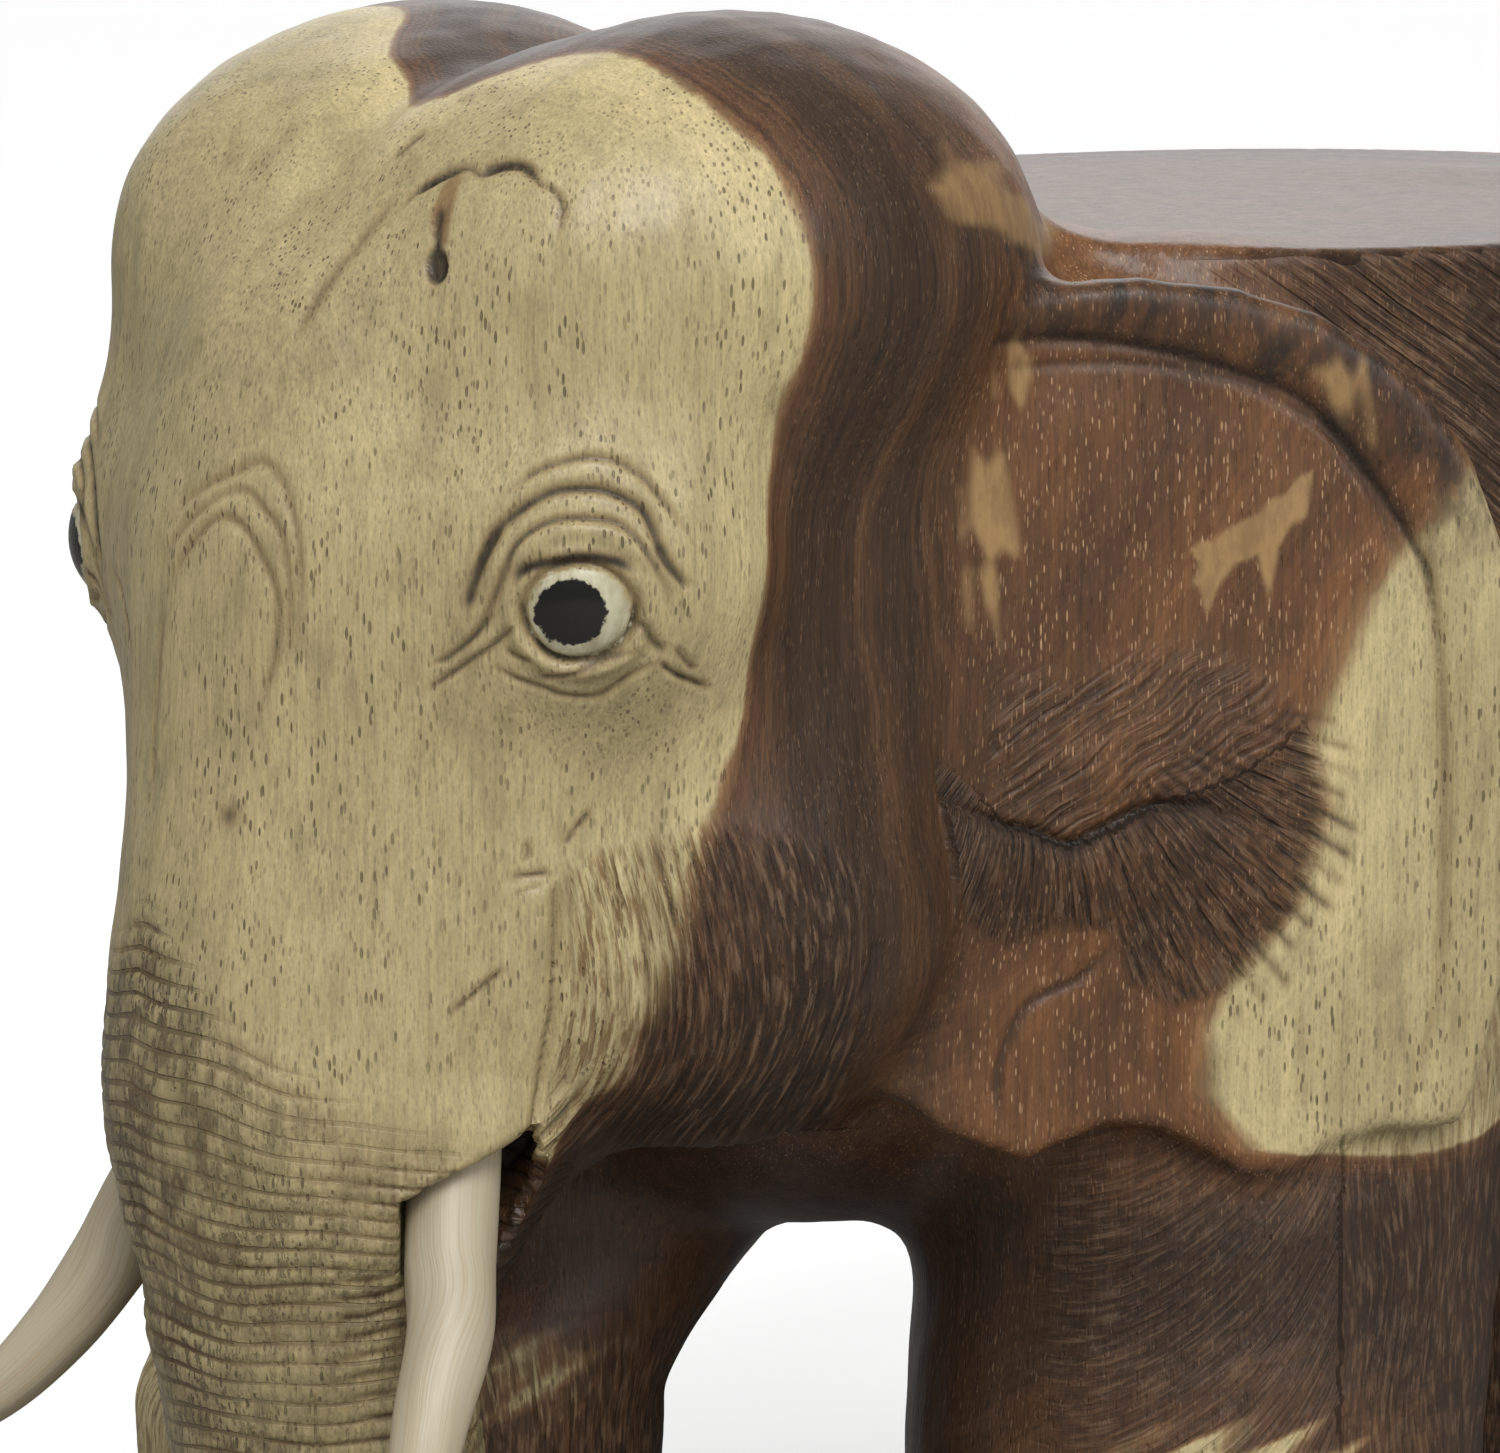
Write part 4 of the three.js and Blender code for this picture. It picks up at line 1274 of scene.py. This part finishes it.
def add_pores(shader, colour, place, heart):
    """Two sizes of pores: dark in the sapwood, and bright in the heartwood of the ears and flanks."""
    dash_colour = shader.mix(heart, paint(84, 72, 48), paint(176, 138, 102))
    side = (shader.value("front") * 0.8).rest()
    faint, pick = pores(shader, place, (0.45, 2.2), 0.2)
    share = shader.between(heart, 0.3, shader.step(pick, 0.2, 0.9) * side)
    colour = shader.mix(faint * share, colour, dash_colour)
    cluster = shader.step(shader.noise(place, (70, 70, 45), 3), 0.38, 0.62)
    dashes, pick = pores(shader, place, (0.7, 3.2), 0.3)
    dashes *= cluster * 0.75 + 0.25
    share = shader.between(heart, 0.8, shader.step(pick, 0.3, 0.9) * side)
    return shader.mix(dashes * share, colour, dash_colour), dashes


def eye_paint(shader, place):
    """Masks of the painted white and pupil, by the distance from the pupil across the face's plane."""
    x, y, z = np.eye(3)
    sideways = shader.along(place, x).maths("ABSOLUTE")
    folded = shader.vector(sideways, shader.along(place, y), shader.along(place, z))
    q = shader.out("VectorMath", {0: folded, 1: tuple(EYE * MM)}, operation="SUBTRACT")
    brush = (shader.noise(q, (900, 900, 900)) - 0.5) * 0.36
    close = shader.step(shader.along(q, TOWARDS).maths("ABSOLUTE"), 0.016, 0.012)

    def inside(centre, radii):
        a = (shader.along(q, SIDEWAYS) - centre * MM) / (radii[0] * MM)
        b = shader.along(q, UPWARDS) / (radii[1] * MM)
        reach = (a * a + b * b).maths("SQRT") + brush
        return shader.step(reach, 1.04, 0.96) * close

    return inside(1.1, (6.9, 5.9)), inside(0, (4.9, 4.4))


def fine_hair(shader, colour, comb, heart):
    """Hair-fine scratches along the combed directions, with a knife cut down most lanes. The dark valleys
    are partly stain, partly painted shade; the pale crests partly wear, partly painted highlight.
    """
    across, along = shader.value("across"), shader.value("along")
    hairs = shader.noise(shader.vector(across * 4.0, along * 0.16), detail=4)
    wander = shader.noise(shader.vector(across * 0.7, along * 0.07, 5.0))
    offset = (across + wander * 0.8).maths("FRACT") - 0.5
    line = shader.step(offset.maths("ABSOLUTE"), 0.17, 0.03) * shader.step(wander, 0.4, 0.6)
    # Dark valleys and knife cuts: partly stain, partly painted shade.
    valley = (shader.step(hairs, 0.5, 0.4) * 0.85).maths("MAXIMUM", line)
    dark = shader.mix(heart, GROOVE_SAPWOOD, GROOVE)
    colour = shader.mix(valley * comb * 0.88, colour, dark)
    # Pale crests: partly worn wood, partly painted highlight.
    light = shader.mix(heart, paint(208, 194, 150), paint(136, 108, 82))
    colour = shader.mix(shader.step(hairs, 0.51, 0.62) * comb * 0.6, colour, light)
    return colour, (hairs - line * 0.6) * comb


def wrinkle_lines(shader, colour, smudge):
    """Thin dark lines between the trunk's wrinkles, and upright ticks across each wrinkle."""
    across, rise = shader.value("across"), shader.value("along")
    lane = rise / WRINKLE
    row = lane.maths("FLOOR")
    offset = (lane - row - 0.5).maths("ABSOLUTE")
    thickness = shader.noise(shader.vector(across * 0.09, row * 3.7)) * 0.26
    line = shader.step(offset - thickness, 0.0, -0.05)
    ticks = shader.noise(shader.vector(across * 1.35, rise * 0.26, row * 0.3), detail=3)
    ticks = shader.step(ticks, 0.53, 0.57) * shader.step(smudge, 0.34, 0.5)
    dark = line.maths("MAXIMUM", ticks * 0.9) * shader.value("wrinkled")
    return shader.mix(dark * 0.85, colour, paint(60, 49, 33)), dark * -1.0


def carved_wood():
    """Varnished wood: grain, pores, hair, dirt, filler, stained cuts, painted shade and highlights, and the
    painted eyes.
    """
    shader = Shader(bpy.data.materials.new("carved_wood"))
    place = shader.out("TexCoord", {}, "Object")
    comb, filler = shader.value("comb"), shader.value("filler")
    heart = shader.step(shader.value("depth"), -1, 2)
    smudge = shader.noise(place, (330, 330, 150), 5)
    colour, fine, blotches = wood_colour(shader, place, heart)
    colour, dashes = add_pores(shader, colour, place, heart)
    colour, hairs = fine_hair(shader, colour, comb, heart)
    colour, wrinkles = wrinkle_lines(shader, colour, smudge)
    # Dirt, with painted shade on the lower trunk, darkens the colour towards grey-brown.
    dirt_and_shade_amount = shader.value("dust") * (shader.step(smudge, 0.4, 0.6) * 0.7 + 0.28)
    colour = shader.mix(dirt_and_shade_amount, colour, shader.mix(heart, paint(96, 84, 60), GROOVE))
    colour = shader.mix(blotches, colour, shader.mix(heart, paint(132, 120, 84), BLACKISH))
    tan = shader.mix(shader.step(smudge, 0.4, 0.65), paint(163, 130, 84), paint(142, 110, 70))
    colour = shader.mix(filler, colour, tan)
    worn = shader.value("stain") * (smudge * 0.7 + 0.62)
    stained = shader.mix(heart, GROOVE_SAPWOOD, GROOVE)
    colour = shader.mix(worn, colour, shader.mix(shader.step(worn, 0.25, 0.85), stained, GROOVE))
    white, pupil = eye_paint(shader, place)
    old_white = shader.mix(shader.step(smudge, 0.35, 0.7), paint(204, 200, 172), paint(168, 160, 128))
    colour = shader.mix(white * 0.85, colour, old_white)
    colour = shader.mix(pupil, colour, paint(26, 26, 25))
    pits = dashes * -1.0 * white.maths("MAXIMUM", filler).rest()
    rough = smudge * 0.16 + 0.38 + worn * 0.25 + comb * 0.12
    return shader.finish(
        Base_Color=colour,
        Roughness=shader.between(pupil, rough, 0.16),
        Normal=shader.bump([(pits, 0.00016), (fine, 0.00014), (hairs, 0.0006), (wrinkles, 0.0004)]),
        Coat_Weight=comb.rest() * 0.22,
        Coat_Roughness=0.24,
    )


# ---------- tusks

# Stations along the left tusk's curve, each (x, y, z, radius), after its straight butt.
TUSK_CURVE = [
    (34.7, -155.7, 118, 6.1), (38.3, -163.3, 107.6, 5.3), (44.1, -172.0, 98.2, 4.2),
    (53.2, -182.0, 91.8, 3.0), (63.8, -193.4, 88.8, 1.0),
]


def tusk_wood():
    """Pale close-grained wood. The grain follows the tusk: "girth" and "length" are in millimetres."""
    shader = Shader(bpy.data.materials.new("tusk_wood"))
    grain = shader.vector(shader.value("girth") * 3.2, shader.value("length") * 0.035)
    fibres = shader.noise(grain, detail=3)
    broad = shader.noise(grain, (0.25, 0.6, 1))
    colour = shader.ramp(fibres, [
        (0.3, paint(166, 153, 127)), (0.5, paint(180, 168, 142)), (0.75, paint(187, 176, 152)),
    ])
    colour = shader.mix(shader.step(broad, 0.5, 0.75) * 0.35, colour, paint(172, 148, 112))
    flecks = Value(shader, shader.cells(grain, (0.9, 6, 1)).outputs["Distance"])
    colour = shader.mix(shader.step(flecks, 0.05, 0.16).rest() * 0.4, colour, paint(150, 134, 106))
    return shader.finish(
        Base_Color=colour,
        Roughness=broad * 0.15 + 0.34,
        Normal=shader.bump([(fibres, 0.0001)]),
        Coat_Weight=0.15,
        Coat_Roughness=0.25,
    )


TIP_LENGTH = 1.6
TUSK_SIDES = 56


def tusk_path():
    """The left tusk's centre line, its radius and the length so far: a straight butt, then the curve."""
    straight = [(*on_tusk_axis(LEFT, d), TUSK_RADIUS) for d in (-SOCKET_DEPTH, -SOCKET_DEPTH / 2, 0)]
    straight.append((*on_tusk_axis(LEFT, SOCKET_DEPTH / 2), TUSK_RADIUS - 0.1))
    path = smooth_path(straight + TUSK_CURVE, steps=18)
    centre, radius = path[:, :3], path[:, 3].copy()
    length = np.concatenate([[0], np.cumsum(np.linalg.norm(np.diff(centre, axis=0), axis=1))])
    radius -= 0.8 * fade(length, 0, TIP_LENGTH)
    radius *= np.sqrt(np.clip((length[-1] - length) / TIP_LENGTH + 0.05, 0, 1))
    return centre, radius, length


def tusk_points(centre, radius, length, turn):
    """Rings round the centre line, with faint knife facets, and a point in the middle of each end."""
    tangent = np.gradient(centre, axis=0)
    tangent /= np.linalg.norm(tangent, axis=1)[:, None]
    across = np.cross(tangent, [0, 0, 1.0])
    across /= np.linalg.norm(across, axis=1)[:, None]
    third = np.cross(tangent, across)
    ring = across[:, None] * np.cos(turn)[None, :, None] + third[:, None] * np.sin(turn)[None, :, None]
    facet = 1 - 0.012 * (1 + np.cos(7 * turn + 0.6)) * smooth_step(length, 22, 30)[:, None]
    points = centre[:, None] + ring * (radius[:, None] * facet)[..., None]
    return np.concatenate([points.reshape(-1, 3), centre[[0, -1]]])


def tusk_faces(rings, sides):
    """Triangles between the rings, and a fan over each end."""
    start = np.arange(rings - 1)[:, None] * sides
    k = np.arange(sides)
    after = (k + 1) % sides
    a, b = (start + k).ravel(), (start + after).ravel()
    first = rings * sides
    last_ring = first - sides
    return np.concatenate([
        np.stack([a, b, b + sides], 1),
        np.stack([a, b + sides, a + sides], 1),
        np.stack([np.full(sides, first), after, k], 1),
        np.stack([np.full(sides, first + 1), last_ring + k, last_ring + after], 1),
    ])


def build_tusk(node, side, material):
    centre, radius, length = tusk_path()
    turn = np.linspace(0, 2 * np.pi, TUSK_SIDES, endpoint=False)
    points = tusk_points(centre, radius, length, turn)
    faces = tusk_faces(len(centre), TUSK_SIDES)
    if side == RIGHT:
        points, faces = mirrored(points), faces[:, ::-1]
    made = mesh_object(node + "_carving", points, np.ascontiguousarray(faces), material)
    girth = np.concatenate([np.tile(np.abs(turn - np.pi) * TUSK_RADIUS, len(centre)), [0, 0]])
    add_values(made, "girth", girth + 60 * (side == RIGHT))
    add_values(made, "length", np.concatenate([np.repeat(length, TUSK_SIDES), [0, length[-1]]]))
    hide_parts(node)
    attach(made, node)


# ---------- build

points, faces, carving, smooth_points = build_block()
block_object = mesh_object("carving", points, faces, carved_wood())
for name in SHARES:
    add_values(block_object, name, np.clip(getattr(carving, name), 0, 1))
add_values(block_object, "across", carving.across)
add_values(block_object, "along", carving.along)
add_values(block_object, "depth", heartwood_depth(smooth_points))
# Where the near-black colours go: the face, and, partly as painted shade, the legs, chest and body.
add_values(block_object, "front", dark_heartwood_and_shade(smooth_points))
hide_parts("carved_body")
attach(block_object, "body")

tusk_material = tusk_wood()
build_tusk("left_tusk", LEFT, tusk_material)
build_tusk("right_tusk", RIGHT, tusk_material)


# ---------- camera, lights and floor

CAMERA_AT = np.array([591.26, -711.63, 334.49])
LOOKS_AT = np.array([50.0, -110.5, 200.0])
LENS = 140.57


def place_object(name, data, place):
    """Adds a camera or a lamp that looks at the head."""
    made = bpy.data.objects.new(name, data)
    made.location = place
    made.rotation_mode = "QUATERNION"
    made.rotation_quaternion = (Vector(LOOKS_AT * MM) - Vector(place)).to_track_quat("-Z", "Y")
    bpy.context.scene.collection.objects.link(made)
    return made


def add_camera():
    data = bpy.data.cameras.new("camera")
    data.sensor_width = 36
    data.lens = LENS
    data.clip_end = 100
    bpy.context.scene.camera = place_object("camera", data, CAMERA_AT * MM)


def add_lamp(name, place, size, power):
    data = bpy.data.lights.new(name, "AREA")
    data.shape = "DISK"
    data.size = size
    data.energy = power
    place_object(name, data, place)


def add_floor():
    """A pale floor. It throws less light upwards than it shows to the camera."""
    bpy.ops.mesh.primitive_circle_add(vertices=96, radius=40, fill_type="NGON", location=(0, 0, 0))
    floor = bpy.context.object
    floor.name = "floor"
    shader = Shader(bpy.data.materials.new("pale_floor"))
    seen = shader.out("LightPath", {}, "Is Camera Ray")
    floor.data.materials.append(shader.finish(
        Base_Color=shader.mix(seen, (0.25, 0.24, 0.23, 1), (0.93, 0.93, 0.93, 1)),
        Emission_Color=(1, 1, 1, 1),
        Emission_Strength=seen * 0.3,
        Roughness=0.6,
    ))


def add_world():
    """A white studio. In reflections only the backdrop behind the elephant is bright."""
    shader = Shader(bpy.data.worlds.new("studio"), "Background")
    behind = shader.along(shader.out("TexCoord", {}, "Generated"), (-0.62, 0.7, 0.35))
    inputs = {"Value": behind, "From Min": 0.82, "From Max": 0.97, "To Min": 0.16, "To Max": 1.45}
    shine = shader.out("MapRange", inputs, "Result")
    lit = shader.between(shader.out("LightPath", {}, "Is Glossy Ray"), 0.7, shine)
    strength = shader.between(shader.out("LightPath", {}, "Is Camera Ray"), lit, 1.0)
    bpy.context.scene.world = shader.finish(Color=(1, 1, 1, 1), Strength=strength)


add_camera()
add_world()
add_floor()
add_lamp("key", (1.25, -1.05, 1.8), 1.2, 31)
add_lamp("side", (2.0, 0.1, 0.9), 1.0, 5)
bpy.context.scene.view_settings.view_transform = "Standard"
